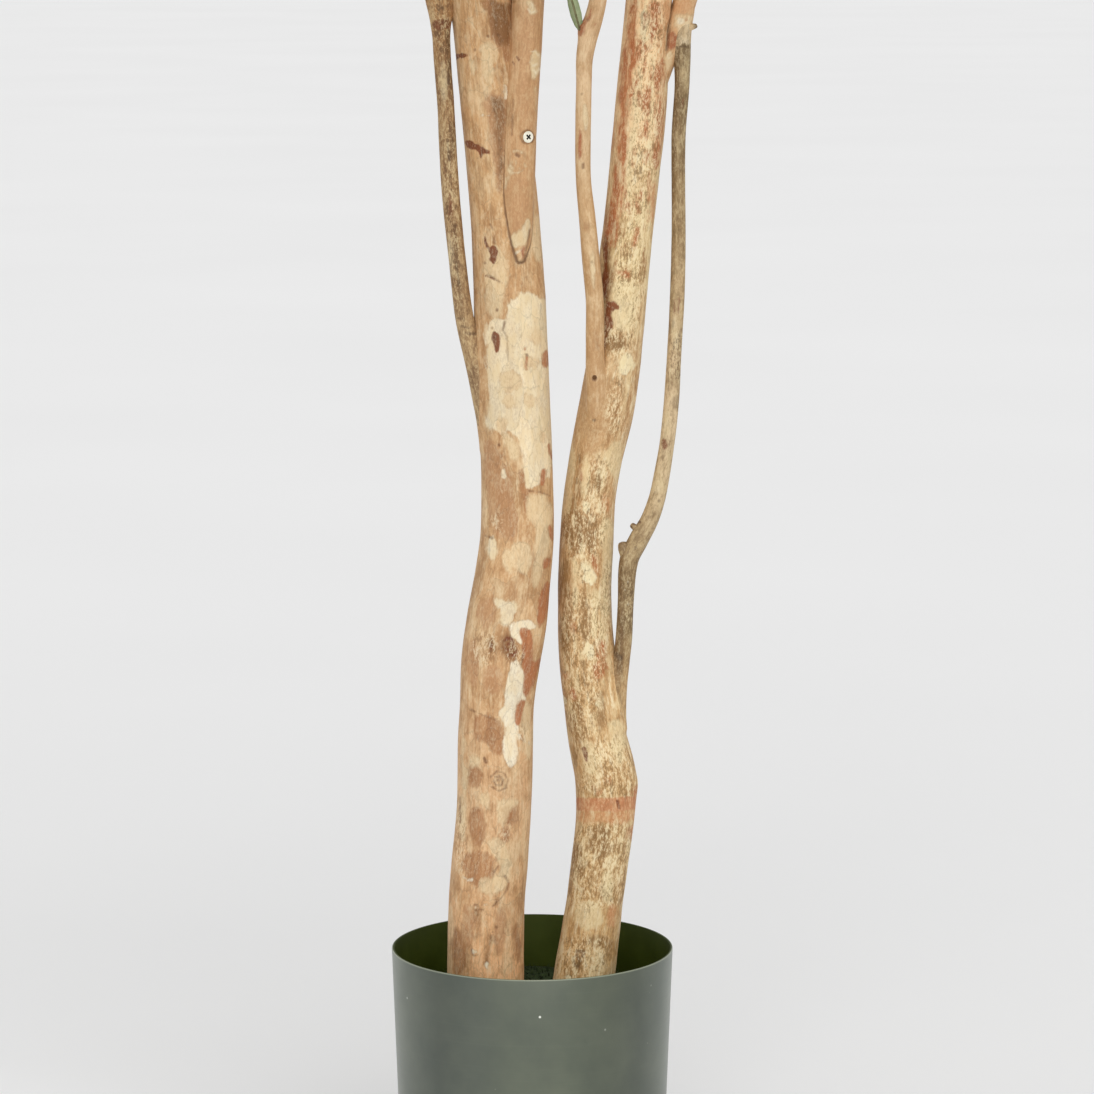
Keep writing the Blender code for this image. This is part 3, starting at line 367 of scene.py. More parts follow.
# Stations of the finished bark that differ a little: a foot that runs out into the wood, and an end drawn into it
FINE_STATIONS = {
    "branch_middle": {0.695: (0.0550, -0.0045, 0.0030), 0.722: (0.0553, -0.0080, 0.0066)},
    "branch_right": {
        0.998: (0.1308, 0.0080, 0.0062), 1.033: (0.1312, 0.0065, 0.0062), 1.056: (0.1296, 0.0085, 0.0040),
    },
}
RELIEF = 0.0007
RELIEF_WAVES = (38, 38, 11)
FINE_RELIEF = 0.00022
FINE_RELIEF_WAVES = (170, 170, 45)
RELIEF_FULL_RADIUS = 0.012
FILLET = 0.011
SEAM_REACH = 0.010
SEAM_FADE = 0.0016
SEAM_WIDTHS = (0.0014, 0.0002)
SEAM_STRAY = 0.0003
CREASE_SHADE_DARKNESS = 0.75
MARK_REACH = 6.0
LAYERS = "brown tan stain orange pale cream island white band rust maroon dark speckle".split()
SUNK_LAYERS = ("cream", "white", "maroon", "dark")
SWELLING_SIDE = 0.4
GAP_STEPS = 300

# Bark patterns: stretch along the grain, waves a metre, detail, roughness and distortion. Fibres are 2 mm across,
# ragged bands 5 mm, broad patches 20 mm, mottling 7 mm, bent edges 11 mm, frayed edges 3 mm and flecks 1.5 mm. The
# flecks of real bark are finer, and are drawn as coarse as they show.
PATCH_STRETCH = 0.45
BARK_PATTERNS = {
    "streak": (0.07, 420, 4, 0.65, 0),
    "ragged": (0.22, 210, 5, 0.70, 0.4),
    "broad": (PATCH_STRETCH, 46, 3, 0.55, 0),
    "mottle": (PATCH_STRETCH, 150, 4, 0.60, 0),
    "warp": (PATCH_STRETCH, 90, 2, 0.50, 0),
    "fray": (PATCH_STRETCH, 330, 3, 0.60, 0),
    "fleck": (0.45, 640, 4, 0.70, 0.5),
}
# A layer of colour fades in either side of its noise's middle, over a reach, to a strength. Bands' varies by bough.
NOISE_MIDDLE = 0.5
LAYER_START = 0.03
PATCH_LAYER = (0.10, 0.55)
MOTTLE_LAYER = (0.12, 0.45)
STREAK_LAYER = (0.16, 0.5)
BAND_REACH = 0.13
CLUSTERING = (0.5, -0.25)
FRAY_SHARE = 0.6
# The parts of a noise's range, or of a distance in pixels, over which something fades in
NOISE_SPAN = (0.3, 0.7)
HOLE_SPAN = (0.47, 0.58)
TONE_SPAN = (0.38, 0.62)
RIM_SPAN = (1.5, 0.3)
SPECKLE_SPAN = (3.5, -3.0)
FLECK_SPANS = ((0.49, 0.38), (0.51, 0.62))
SPECKLE_STRAY = 4.0
CELL_SCALE = 75
CELL_BEND = 0.010
CELL_BEND_SCALE = 90
CRACK_WIDTH = 0.03
RIM_BROWN = "#8A6038"
CREASE_SHADE_BROWN = "#57351A"
# How strongly fibres, sunk flakes, flecks and ragged bands shape the surface, and the strength and depth of it all
BARK_HEIGHTS = (0.25, 0.5, 0.35, 0.4)
BARK_BUMP = (0.5, 0.0009)
NATURAL_IOR = 1.45
PLASTIC_IOR = 1.49
# Grainy finishes: their noise's detail and roughness, how far their sheen strays, and their bump's strength
GRAINS = (5, 0.7)
GRAIN_STRAY = 0.1
GRAIN_BUMP = 0.6
# Each tone of a mark, in the order they lie on one another: its two colours, how far its edge strays, its softness,
# its strength, its outline and its holes
TONES = {
    "flaked": """
        brown #A9754A #93623B 2.4 1.8 .82 .10 .30
        tan #BB8A60 #AC7C54 2.6 2.0 .65 .10 .25
        stain #82562C #724B26 2.4 3.0 .80 0 .15
        pale #E6D2AA #DBBF92 2.6 1.8 .72 .15 .30
        cream #ECDCBA #E2CCA2 2.4 1.3 .90 .15 .15
        island #D2B082 #DCC094 3.0 1.2 .65 .12 0
        white #EFE4CA #E7D6B4 1.8 1.0 .95 .30 .20
        rust #B46E42 #9C5A32 1.4 .8 .90 .20 .10
        maroon #7C3A12 #682E08 1.0 .7 .95 0 0
        dark #5C3618 #6E4424 .6 .9 .75 0 .25""",
    "streaked": """
        pale #FFD9A8 #F9CF9C 3.0 4.0 .60 0 .50
        brown #967044 #7E5C34 2.6 2.0 .78 0 .70
        tan #C59C6C #BC9264 2.4 2.6 .85 0 0
        orange #CC9060 #C08050 2.0 2.2 .75 0 .55
        cream #E8D5A8 #DEC594 2.4 1.8 .75 0 .50
        white #F0E4BE #E6D4A6 2.4 1.0 .90 .2 .35
        band #BE7C52 #C68A5E .7 1.0 .92 0 .15
        rust #B86A3C #A2582C 2.6 2.0 .88 0 .62
        stain #7A5028 #6A441E 1.6 2.2 .85 0 .30
        maroon #7E3A0C #6A2C08 1.6 .9 .95 0 .15
        dark #5C3E22 #6C4C2C .7 1.0 .80 0 .20""",
    "smooth": """
        brown #AC8056 #9A744C 2.0 2.2 .60 0 .40
        tan #C49468 #B98A5C 2.2 2.2 .55 0 0
        orange #D49E70 #C89060 1.4 1.6 .70 0 .20
        pale #EAD9B2 #DCC296 2.0 1.4 .75 .15 .55
        cream #E8D6B0 #DFC79A 1.6 1.2 .80 .25 .25
        white #F0E4C8 #EADCBC .8 .9 .80 0 .20
        rust #AA6038 #964E2A 1.6 1.2 .85 0 .35
        maroon #7C3C1E #602A14 .8 .8 .90 0 0
        dark #5C3618 #6E4424 .5 .9 .72 0 .10""",
    "twig": """
        brown #7A5A38 #5E442A 1.6 1.8 .72 0 .40
        pale #E6D0AA #CDAA7E 2.2 1.2 .85 0 .45
        cream #DECBA4 #CFB78C 1.6 1.8 .65 0 .30
        rust #824828 #6A381C 1.2 1.0 .85 0 .30
        maroon #5A2A18 #3E2014 .6 .8 .90 0 0
        white #E6DCC0 #E0D2AE .6 .8 .75 0 0
        dark #4C3624 #5A4430 .6 .9 .70 0 .20""",
}
# Each bough's bark: its name, tones and roughness, its colour by height, partly painted light, pairs of a light and a
# dark tone for patches and streaks, the dark and light flecks, the ragged bands' light tone and their dark one by
# height, how strong flecks are outside and inside the speckled places, how strong the bands are, and how much flakes
# differ and cracks show
BARKS = {
    # Dead olive wood with its outer bark flaked off in patches: tan, with cream and rust islands, matt
    "trunk_left": (
        "flaked_olive_bark", "flaked", 0.66,
        # Its foot is made lighter as painted light against the shade of the pot's rim
        "0 #F2B882, .12 #D3A576, .20 #D6AB7E, .35 #C5996B, .62 #C69D6E, .70 #C3986A, .80 #D0A370, .90 #CA9C6B,"
        " 1 #D09F6B",
        ("#E0C296", "#A87C4E"), ("#E0C69E", "#9E7246"), ("#8A6440", "#EAD8B4"), ("#DABB8E", "0 #AE8256, 1 #A87C50"),
        (0.20, 0.62), 0.40, (0.07, 0.18),
    ),
    # Olive wood with thin bark: cream and tan, with ragged brown and rust streaks and dense fine flecks
    "trunk_right": (
        "streaked_olive_bark", "streaked", 0.66,
        "0 #D8A86C, .12 #C9A26D, .38 #CBA16D, .62 #C8A072, .68 #D9B98A, .75 #DFC38F, .87 #EBCB9A, 1 #FCD2A0",
        ("#E2CA9A", "#AC8250"), ("#E8D6A8", "#94693E"), ("#7C5E34", "#EEDCB2"),
        ("#F0E0BA", "0 #9C7242, .70 #9A6C3C, .80 #AE6638, 1 #B26A3A"), (0.26, 0.70), 0.72, (0.04, 0.06),
    ),
    # Younger limbs: smooth, tight bark with a faint silk sheen
    "limb_left": (
        "smooth_olive_bark", "smooth", 0.58, "0 #C69A68, .7 #C79A6A, 1 #C4966A",
        ("#DAB68A", "#B4895A"), ("#E2C498", "#A2764A"), ("#8A6440", "#E6D0A6"), ("#D4AF82", "0 #B88C5E, 1 #B4865A"),
        (0.18, 0.50), 0.35, (0.03, 0.05),
    ),
    "limb_right": (
        "tanned_olive_bark", "smooth", 0.60, "0 #D2AA7C, 1 #D6A878",
        ("#DDBC90", "#BC8C5C"), ("#DDBE92", "#AC8054"), ("#8A6440", "#E6D0A6"), ("#E0C296", "0 #B8824E, 1 #B87E4C"),
        (0.20, 0.50), 0.45, (0.03, 0.05),
    ),
    "branch_middle": (
        "pale_olive_bark", "smooth", 0.60,
        ".57 #C0986A, .72 #BE9668, .79 #C8A274, .85 #D0AC80, .93 #E3C298, 1 #D6AC7E",
        ("#DFC196", "#BE9466"), ("#E4C9A0", "#B0865A"), ("#8E6844", "#EAD6B0"), ("#DCBC90", "0 #B88C5E, 1 #BC9062"),
        (0.18, 0.50), 0.40, (0.03, 0.04),
    ),
    # Thin twig bark: rough and mottled brown, or worn smooth and olive-grey
    "branch_left": (
        "brown_twig_bark", "twig", 0.72, "0 #B79A6C, .6 #B1936A, .75 #9B7952, .92 #9A744A, 1 #C8945E",
        ("#C0A276", "#7A5A3C"), ("#C6A87A", "#705034"), ("#553C28", "#D9C498"), ("#BC9C70", "0 #705034, 1 #6E4C30"),
        (0.38, 0.62), 0.50, (0.05, 0.08),
    ),
    "branch_right": (
        "worn_twig_bark", "twig", 0.68,
        ".27 #C8A270, .33 #C09A6A, .37 #826A45, .44 #876D49, .50 #C8AE86, .59 #D5BB95, .66 #C2A47C, .74 #AC8F66,"
        " .88 #7A6341, 1 #7C6241",
        ("#BEA57A", "#8A6E46"), ("#C6AC80", "#7A6038"), ("#54402A", "#D9C8A0"), ("#BCA278", "0 #80643E, 1 #7A6040"),
        (0.32, 0.68), 0.45, (0.03, 0.05),
    ),
}

# The stage: a floor that fills the frame, even light from all round, and broad suns whose angle is the softness
FLOOR_HALF = 90
FLOOR_TONES = "0.3 #F3F3F3, 0.7 #F5F5F5"
FLOOR_CLOUDS = (0.8, 2)
WORLD_COLOUR = "#FAFAFA"
WORLD_STRENGTH = 0.59
VIEW_REACH = 200
LIGHTS = [
    ("front_key", 1.45, 60, (52, 0, 16)),
    ("front_fill", 0.48, 70, (68, 0, -30)),
]

# Bark marks of each bough, outlined in the pixels of the reference view and split at semicolons. A number and a colon
# make a stroke of that half-width along the points, or a round dot where there is one point.
MARKS = {
    "trunk_left": {
        # The first brown patch, at the top beside limb_left, is partly stain and partly painted shade
        "brown": """
            480,0 512,0 511,30 509,60 505,60 502,48 494,40 489,30 490,15 483,5; 470,768 476,766 482,771 482,784
            476,790 469,784; 472,712 488,714 502,720 505,734 503,748 500,757 490,750 484,742 473,738; 470,808 480,806
            487,822 486,842 476,848 469,836; 499,827 508,824 513,832 511,843 502,844; 502,806 514,804 519,812 516,824
            508,826 502,818; 452,925 462,930 468,950 462,972 452,978; 514,925 518,920 521,928 522,945 520,960 517,963
            514,950 512,935; 463,856 474,851 486,852 495,860 496,874 489,884 478,887 468,882 462,870; 503,637 511,635
            517,640 519,650 516,658 508,659 502,652 500,643; 521,470 526,468 528,490 527,512 523,510 520,490""",
        # The stain at the top from 490,0 is partly painted shade beside limb_left, and the long one from 490,97 down to
        # 502,192 is painted shade in the groove along the limb
        "stain": """
            499,639 505,635 513,635 518,643 518,653 512,660 503,659 499,651; 487,640 493,638 496,646 494,653 488,653;
            490,0 511,0 511,32 508,46 498,42 491,30; 490,97 499,97 506,104 506,145 505,167 502,192 500,190 497,165
            494,140 493,118; 1.7: 478,912 479,925 476,937; 1.5: 490.5,938 488,950 486.5,963""",
        # The second tan patch, from 485,93 down to 502,196, is painted shade in the groove along limb_left
        "tan": """
            478,600 492,596 495,610 493,624 484,632 476,618; 485,93 500,94 507,104 507,150 505,172 502,196 498,192
            493,165 487,140 486,112; 480,668 494,664 505,672 504,688 494,694 482,688; 498,904 506,910 506,935 500,958
            495,950 494,925; 462,903 472,904 476,925 472,948 463,940; 496,418 508,418 508,429 500,431 495,426; 485,438
            498,442 506,462 512,480 514,505 520,530 512,542 496,538 488,510 484,470; 466,470 476,480 480,530 476,560
            468,540 464,500; 468,640 478,645 480,668 474,690 466,680""",
        "cream": """
            487,318 485,335 486,345 484,358 487,370 490,378 492,388 490,392 488,405 487,420 490,432 496,430 503,432
            508,431 513,436 517,441 519,447 522,455 521,462 524,470 527,480 527,488 538,486 556,470 556,300 545,300
            525,290 515,296 508,300 508,322 500,320; 493,600 500,598 508,600 514,603 517,608 515,615 510,622 505,627
            502,621 503,613 498,606; 486,537 492,537 497,543 499,552 497,559 492,562 487,554""",
        "pale": """
            484,250 500,246 508,262 506,290 500,318 488,318 484,290; 510,298 522,292 540,296 548,304 548,330 520,330
            508,314; 505,432 512,434 518,444 520,450 520,458 513,460 508,452 504,440; 528,495 540,493 549,496 552,520
            551,545 545,560 541,584 534,588 531,578 536,560 533,546 538,528 530,520 526,505; 503,552 508,548 513,553
            514,566 509,573 503,567; 512,546 520,541 529,544 532,556 530,570 522,575 514,570 510,558; 481,791 488,795
            489,803 487,810 483,806 480,798; 497,800 510,798 520,802 515,807 508,812 506,820 505,828 502,828 497,820
            496,810; 486,840 500,838 508,845 510,860 508,880 503,890 490,896 480,890 478,880 490,879 500,870 498,860
            490,850; 480,48 486,43 492,45 495,55 493,68 493,78 489,86 484,78 481,65; 530,215 543,213 543,262 532,260;
            462,738 466,742 467,800 465,842 461,838 461,780; 472,757 480,755 481,763 475,767 470,762; 470,63 476,61
            478,72 473,80 469,72; 520,700 530,702 534,730 530,760 524,755 521,730; 455,330 468,335 475,370 476,430
            468,440 458,400""",
        "island": """
            499,374 506,370 514,371 520,377 520,386 514,392 505,393 499,386; 503,397 509,393 515,397 513,405 508,409
            503,404; 526,398 531,394 537,398 535,406 530,408 526,404; 522,358 531,354 539,359 537,369 529,372 522,367;
            497,420 503,416 509,421 507,429 501,432 496,427; 530,330 538,328 541,338 536,346 529,340; 540,430 546,432
            547,446 541,444""",
        # Among the white marks, the dots at 484,905, 467,869 and 474,951.5 are painted highlights on knots and knobs
        "white": """
            514,661 519,661 521,666 524,672 525,680 523,686 524,694 526,700 519,702 517,708 516,718 517,724 518,735
            517,745 520,750 517,760 513,767 508,765 503,755 503,745 505,732 504,725 500,719 497,717 497,714 500,709
            505,706 507,700 506,690 507,675 510,665; 511,628 514,621 522,620 533,623 541,627 534,630 520,629 519,634
            523,642 521,645 516,641 512,636; 1.4: 519,736 527,743; 1.2: 474,951.5 476.5,951.5; 0.9: 484,905 487,904.5;
            0.6: 475.5,907; 1.3: 464,877 468,880 472,880; 1.2: 467,869; 0.5: 483,115 491,116; 1: 506,86 506,97; 0.7:
            486.8,964 486.5,968; 1.6: 503,470 504,476""",
        "rust": """
            520,629 526,629 532,631 533,640 532,648 532,656 534,664 541,657 539,665 536,672 534,680 530,690 526,698
            524,692 523,685 525,678 524,672 521,664 523,655 521,648 523,641 520,634; 520,702 525,700 524,708 522,716
            520,723 518,725 515,721 516,712 517,706; 546,582 552,583 552,600 548,612 541,630 538,629 537,620 538,612
            540,603 540,592; 542,468 547,468 546,478 543,486 540,485 540,476; 546,349 550,355 550,363 545,368 543,362
            543,352; 549,441 553,455 553,461 550,458 547,448; 549,523 554,530 554,543 549,538 547,530; 543,558 552,558
            549,566 543,571; 1.6: 525,349; 1.4: 527,357 527,369""",
        "maroon": """
            456,54 460,53 469,55 464,58 460,58 458,60 456,59; 464,141 471,141 480,146 491,152 491,154 483,153 482,158
            480,159 480,152 472,149 466,146; 489,248 493,245 495,248 498,251 496,257 497,260 494,265 491,262 489,259
            491,255 489,251; 494,331 500,334 500,343 499,352 495,353 494,345 491,340 492,334; 0.8: 486,276 494,279
            502,283; 0.9: 490,277 496,280; 484,235 486,238 487,243 490,249 487,248 484,242; 1: 504,641 507,638 511,639
            513,643 512,648 508,650 505,648 504,644; 0.9: 508,655 513,655 517,651 518,646; 1.9: 508,644; 1.3: 490,644
            491,649""",
        # The arc from 471.5,949 to 478.5,954.5 is painted shadow under the knob at 475,952
        "dark": """
            1: 490,224 493,230; 1: 494,235 494,243; 1.3: 488,275 494,278 500,282; 0.7: 505,322 503,330 507,337
            508,360; 0.7: 529,491 540,492 550,496; 0.8: 471,710 480,714 495,720; 1.4: 488,36; 1.2: 475,50; 1.4:
            485,263; 1.4: 497,310; 1.2: 492,328; 1.5: 499,445; 1.8: 527,355; 1.6: 484,758 486,762; 1.5: 498,780; 0.8:
            495,777 500,776 503,780 501,785 496,785 494,781; 0.7: 491,777 497,771 504,773 508,780 506,788 499,791
            492,787; 0.6: 471.5,949 472.5,954 475,956 478.5,954.5; 0.7: 505,876 508.5,883 506.5,890 502,897 497,902
            493,906; 0.5: 498,898 500,903; 0.5: 495.5,900 497.5,905; 0.8: 473.5,906 475,904 478,905 479.5,908.5
            476,910.5 473.5,908.5 473.5,906; 0.5: 480,909 485,911; 1.2: 496.5,927; 0.8: 492.5,932; 1.4: 491,645; 1.4:
            491,651; 0.8: 460,797 460,822; 1.2: 492,4; 1.2: 500,5; 1.2: 498,35; 1.2: 486,536 492,538; 1.3: 521,664
            523,655; 1.2: 494,872 498,866""",
        "speckle": """
            520,724 530,726 529,742 521,744; 511,643 522,643 523,658 520,666 505,665 506,655; 491,514 504,515 504,528
            492,528; 499,826 511,827 511,841 500,840; 455,800 462,805 466,850 462,880 456,860; 474,634 496,632 500,655
            488,668 474,664; 499,826 513,827 513,843 500,843""",
    },
    "trunk_right": {
        "rust": """
            632,0 638,0 637,20 638,38 633,40 630,25; 649,3 657,2 661,12 656,30 650,28 648,14; 626,40 638,36 649,44
            646,54 638,63 633,82 631,104 629,140 627,178 622,200 618,230 612,250 603,252 606,215 613.5,180 617.5,140
            620.5,100 622,66; 643,84 652,84 652,100 648,118 643,110; 643,122 650,120 650,140 644,142; 655,60 668,56
            664,120 660,156 655,170 653,150 654,130 654,90; 1.7: 652.5,187 651,190; 1.2: 649,195 650,199; 592,553
            597,560 601,576 598,578 594,570 591,560; 596,642 603,642 605,652 602,660 597,661 595,652; 593,664 600,659
            605,665 603,677 598,682 593,676; 563,672 568,672 567,681 564,680; 569,623 576,622 578,632 570,634; 566,690
            574,690 575,699 568,700; 633,783 640,785 640,797 632,797; 627,826 637,824 637,842 629,840; 635,229 640,229
            638,240 634,248 633,240; 618,270 628,272 631,278 624,277 619,274; 1.9: 646,152 645,160; 1.9: 641,190
            640.5,198; 2: 638,206 639,212; 1.9: 637.5,232 635,246; 2: 580,466 581,478; 1.6: 610,778 611,784; 1.6:
            595,786 598,792; 1.6: 625,110 623,126; 1.5: 634,20 634,34; 1.6: 644,14 643,34; 1.5: 650,34 649,52; 1.6:
            645,56 643,72; 1.4: 637,70 636,84; 1.5: 652,66 650,80; 1.5: 640,92 639,106; 1.4: 634,112 633,126; 1.3:
            641,128 640,140; 1.4: 633,150 632,166; 1.5: 626,180 625,196; 1.3: 648,210 646,220; 1.5: 630,206 629,220;
            1.6: 629,20 628,40""",
        # Both stains are painted shadow beside branch_middle's right side
        "stain": "603,236 610,238 611,290 609,300; 603,256 610,250 612,300 607,352 603,352",
        "pale": "632,0 668,0 664,60 660,150 612,150 622,60",
        "band": "570,797 600,799 642,795 642,808 620,812 600,811 578,811 570,809",
        "orange": """
            660,0 672,0 670,30 664,60 660,90 656,60 659,30; 629,8 637,6 637,60 632,72 628,60; 647,0 657,0 660,18
            655,36 649,32; 649,185 658,180 656,215 650,226; 602,494 608,491 611,504 607,513 603,508; 570,809 600,812
            642,808 638,820 618,825 600,822 582,823 570,820; 607,905 618,905 617,925 608,928; 603,120 618,116 615,150
            608,160""",
        "tan": """
            579,388 606,386 613,400 610,430 602,450 588,457 576,440 575,412; 603,560 612,556 614,600 608,640 602,620""",
        # The first brown patch, from 603,200, is painted shadow beside branch_middle
        "brown": """
            603,200 616,205 614,240 612,300 604,300; 565,512 582,508 590,520 588,548 576,556 564,548; 582,516 597,516
            598,545 592,556 584,545; 561,556 571,560 572,600 571,650 564,664 559,620; 581,600 590,598 591,640 583,640;
            604,337 624,337 626,350 606,353; 577,456 583,458 582,490 577,512 571,520 568,510 574,486; 594,468 604,464
            602,487 597,494; 588,826 612,824 614,850 600,862 586,850; 573,838 586,850 584,880 572,880; 570,700 584,705
            586,740 575,745 568,720; 598,690 606,690 604,730 597,735; 590,934 606,936 614,944 600,948 586,943; 574,745
            580,748 578,770 574,768; 600,880 606,882 604,900 599,898""",
        "cream": """
            639,5 648,4 648,46 641,44; 634,64 643,66 641,110 634,150 630,200 622,220 626,160 632,110; 652,60 656,62
            655,100 652,140 650,170 648,150 650,100; 566,440 577,452 575,474 571,498 568,512 560,514 562,480; 584,458
            590,462 590,480 588,492 584,500 582,490 583,475; 607,447 622,438 622,475 614,482 609,470 601,460; 601,520
            612,516 615,560 612,600 606,640 598,640 600,600 601,560; 591,588 600,590 600,600 596,640 591,638 592,600;
            577,650 584,648 585,661 578,661; 575,670 580,668 580,690 576,692; 609,720 623,722 628,745 619,768 611,745;
            575,905 588,900 602,905 604,926 586,932 573,920; 600,872 612,868 613,905 602,902; 573,556 577,558 578,600
            574,612 572,590; 583,738 597,742 598,775 588,778 583,760; 611,280 640,280 636,300 632,330 614,330
            612,305""",
        "white": """
            583,560 590,566 593,569 598,575 597,582 592,588 587,583 584,577 589,573 582,569; 585,645 592,645 596,652
            594,659 588,660 584,652; 581,502 588,500 590,508 587,516 581,512; 621,354 628,351 635,358 634,369 628,376
            621,374 618,366; 639,8 646,6 647,44 641,50; 1.7: 563,699 566,701; 1.5: 572,697; 1.5: 597,705; 1.6: 564,976
            568,978; 1.5: 581,860; 1.4: 576,882 579,890; 1.5: 603,962 606,968""",
        # The second maroon mark, the strip from 603,244, and the stroke from 605,332 are painted shadow beside
        # branch_middle; the first is a real flake
        "maroon": """
            605,300 612,300 618,305 620,309 612,309 610,315 613,322 612,329 605,330 604,316; 603,244 608,244 609,270
            607,300 603,300; 1.4: 605,332 604,350; 1.2: 617,801 619,808; 1.2: 584,749 587,760""",
        # The stroke from 604,352 to 604,386 is painted shadow beside branch_middle
        "dark": """
            1.2: 674,0 672,14 668,30 667,50; 1: 579,455 580,462; 1.2: 577,478 577,483; 1.2: 605,459; 1.3: 574,958
            577,955 580,961 578,967 575,965 574,960; 1.7: 577,951 584,952 583,956; 0.8: 604,352 604,386; 1.2: 595,420;
            1.2: 581,512; 1.2: 594,533; 1.2: 591,700; 1.3: 577,655; 1.2: 600,576; 1.3: 565,672; 1.3: 637,742; 1.2:
            611,900""",
        "speckle": """
            588,460 612,452 608,500 606,520 600,548 585,562 572,548 576,520 582,500 590,488; 562,510 602,510 604,545
            598,562 585,566 562,555; 602,555 615,555 615,635 602,632; 582,568 591,568 588,582 579,582; 560,590 600,590
            604,640 600,700 598,737 584,743 566,720 560,640; 600,735 632,742 640,795 620,797 598,795 576,790 590,750;
            570,822 640,822 634,860 626,905 600,908 562,908 568,860; 552,934 612,938 608,978 546,979; 604,330 634,330
            632,358 606,358; 616,378 624,378 622,430 610,440 606,400; 632,240 646,240 640,330 628,330; 640,0 666,0
            662,110 652,180 644,240 632,300 612,300 622,220 630,140 634,60""",
    },
    "limb_left": {
        "cream": """
            527,0 533,0 535,8 538,12 532,15 529,15 530,8 526,5; 532,50 538,50 541,58 538,70 534,78 530,72 529,62;
            509,237 519,232 526,220 530,219 529,235 526,247 520,246 512,249; 0.9: 508,170 513,172.5 518,173 523,170;
            1.5: 524,164 526,167; 0.7: 516,160 516,164; 0.6: 514,151.5 518,150.5 521.5,152.5; 0.5: 512,161 511,166
            514,169; 0.5: 519,168 523,166; 1: 536,88 536,110; 1.2: 506,178 505,188; 531,60 538,56 540,72 534,80
            530,72""",
        "tan": """
            502,195 503,173 511,180 520,176 530,175 531,212 524,222 520,230 513,236 508,232 505,215; 519,80 529,82
            530,112 526,128 520,118""",
        "white": """
            1.2: 514,254 522,250; 0.6: 531,52 535,51 538,55; 0.6: 530,62 533,66 537,64; 0.7: 533,70 536,73 539,69;
            0.7: 528,9 531,13 535,11; 0.6: 531,2 533,6""",
        # The wide stroke from 504,20 to 503,90 is painted shade in the fold beside trunk_left
        "brown": """
            0.6: 533,57 536,60; 0.6: 532,67 534,68; 505,100 514,106 514,124 506,128; 1.3: 509,160 512,153 518,151
            524,154 526,161 523,168 517,170 511,168 509,160; 1.4: 512,164 514,167; 1.4: 520,163 521,167; 2: 504,20
            503,90""",
        "rust": "519,248 527,244 526,258 521,262",
        "maroon": "0.9: 517,57 519,60; 0.9: 513,62 515,65",
        # The ring round 527.5,137 is painted shadow round the screw's head
        "dark": """
            1.9: 516.5,154.5 518.5,156; 0.7: 513.5,99 513,110; 0.5: 512.5,114 512,135; 1.2: 514,2; 1.2: 502,190
            502,200; 1: 504,213 508,235; 1: 530,230 527,246 523,262; 1.1: 534.2,137 532.3,141.7 527.5,143.7
            522.8,141.7 520.8,137 522.8,132.3 527.5,130.3 532.2,132.3 534.2,137""",
    },
    "limb_right": {
        "orange": "674,0 694,0 690,12 682,15 672,12",
        "pale": "674,16 682,14 694,14 696,46 684,46 676,32; 664,56 673,50 672,66 664,76",
        "white": "678,17 684,18 683,24 677,25; 1.3: 687,34 688,40",
        "rust": "669,30 677,32 676,44 672,50 667,46; 1.2: 681,29; 1: 686,20",
        "dark": "0.9: 674,0 671,20 667,50",
    },
    "branch_left": {
        "rust": "431,22 436,19 448,18 452,22 449,29 440,31 432,29; 1.4: 450,194 451,214",
        "brown": """
            443,30 452,28 452,50 448,50; 452,225 457,225 462,300 466,330 460,325; 449,120 454,122 454,160 450,158""",
        "cream": "440,60 446,62 447,110 442,100; 446,230 451,234 455,280 450,272",
        "dark": """
            1.2: 437,5; 1.2: 444,10; 1.3: 457,318 464,320; 1.3: 461,326 469,328; 1.3: 466,333 473,334; 1.2: 449,60
            449,84; 1.2: 447,140 449,160; 1.2: 456,262 459,284""",
        "speckle": "428,0 450,0 452,60 438,60; 443,100 456,100 460,320 450,300",
    },
    "branch_middle": {
        "rust": """
            579,25 583,18 587,14 589,19 587,27 585,34 580,38; 0.7: 585,18 586,24; 0.8: 583,27 584,32; 1.2: 580,131
            580,158; 1: 591,10 589,18; 0.9: 595,24""",
        "brown": "583,224 591,224 591,230 583,230; 594,330 600,332 600,350 595,348",
        "cream": "583,105 587,104 587,130 584,130; 590,250 595,250 596,290 591,290",
        "dark": "1.3: 582,94; 1.3: 592,135; 1.3: 583,164 583,168; 1.2: 588,20; 1.2: 592,262; 2.7: 594.4,378.6",
    },
    "branch_right": {
        "rust": "1.6: 675,300 674,312; 1.8: 679,299 678,312; 661,440 666,438 668,448 662,450; 1.3: 683,100 682,106",
        "brown": """
            671,395 680,395 680,410 672,410; 2.2: 677,50 676,90 673,140 671,200 669,290 668,330; 1.4: 617,560 616,600
            614,640 613,690; 612,545 623,552 625,600 624,640 621,690 612,690; 618,538 630,530 628,552 622,560""",
        "pale": "680,0 698,0 697,30 695,41 689,46 684,43 677,48 682,30",
        "cream": """
            671,315 679,315 679,350 673,350; 662,412 669,410 670,430 663,432; 653,480 664,478 662,492 652,492""",
        "maroon": "614,541 622,538 624,546 617,550; 1.8: 634,523 640,522; 1.5: 630,531 629,535",
        "dark": """
            1.6: 636,548; 1.5: 659,501; 1.3: 628,552; 2.2: 614,652 620,658; 1.3: 617,545 616,600; 0.8: 676,48 684,46
            692,48; 3.4: 697,26""",
        "white": "1.4: 628,604; 1.2: 628,582; 1.2: 625,590",
        "speckle": "624,580 636,580 634,625 624,625; 670,330 684,330 684,380 671,380",
    },
}
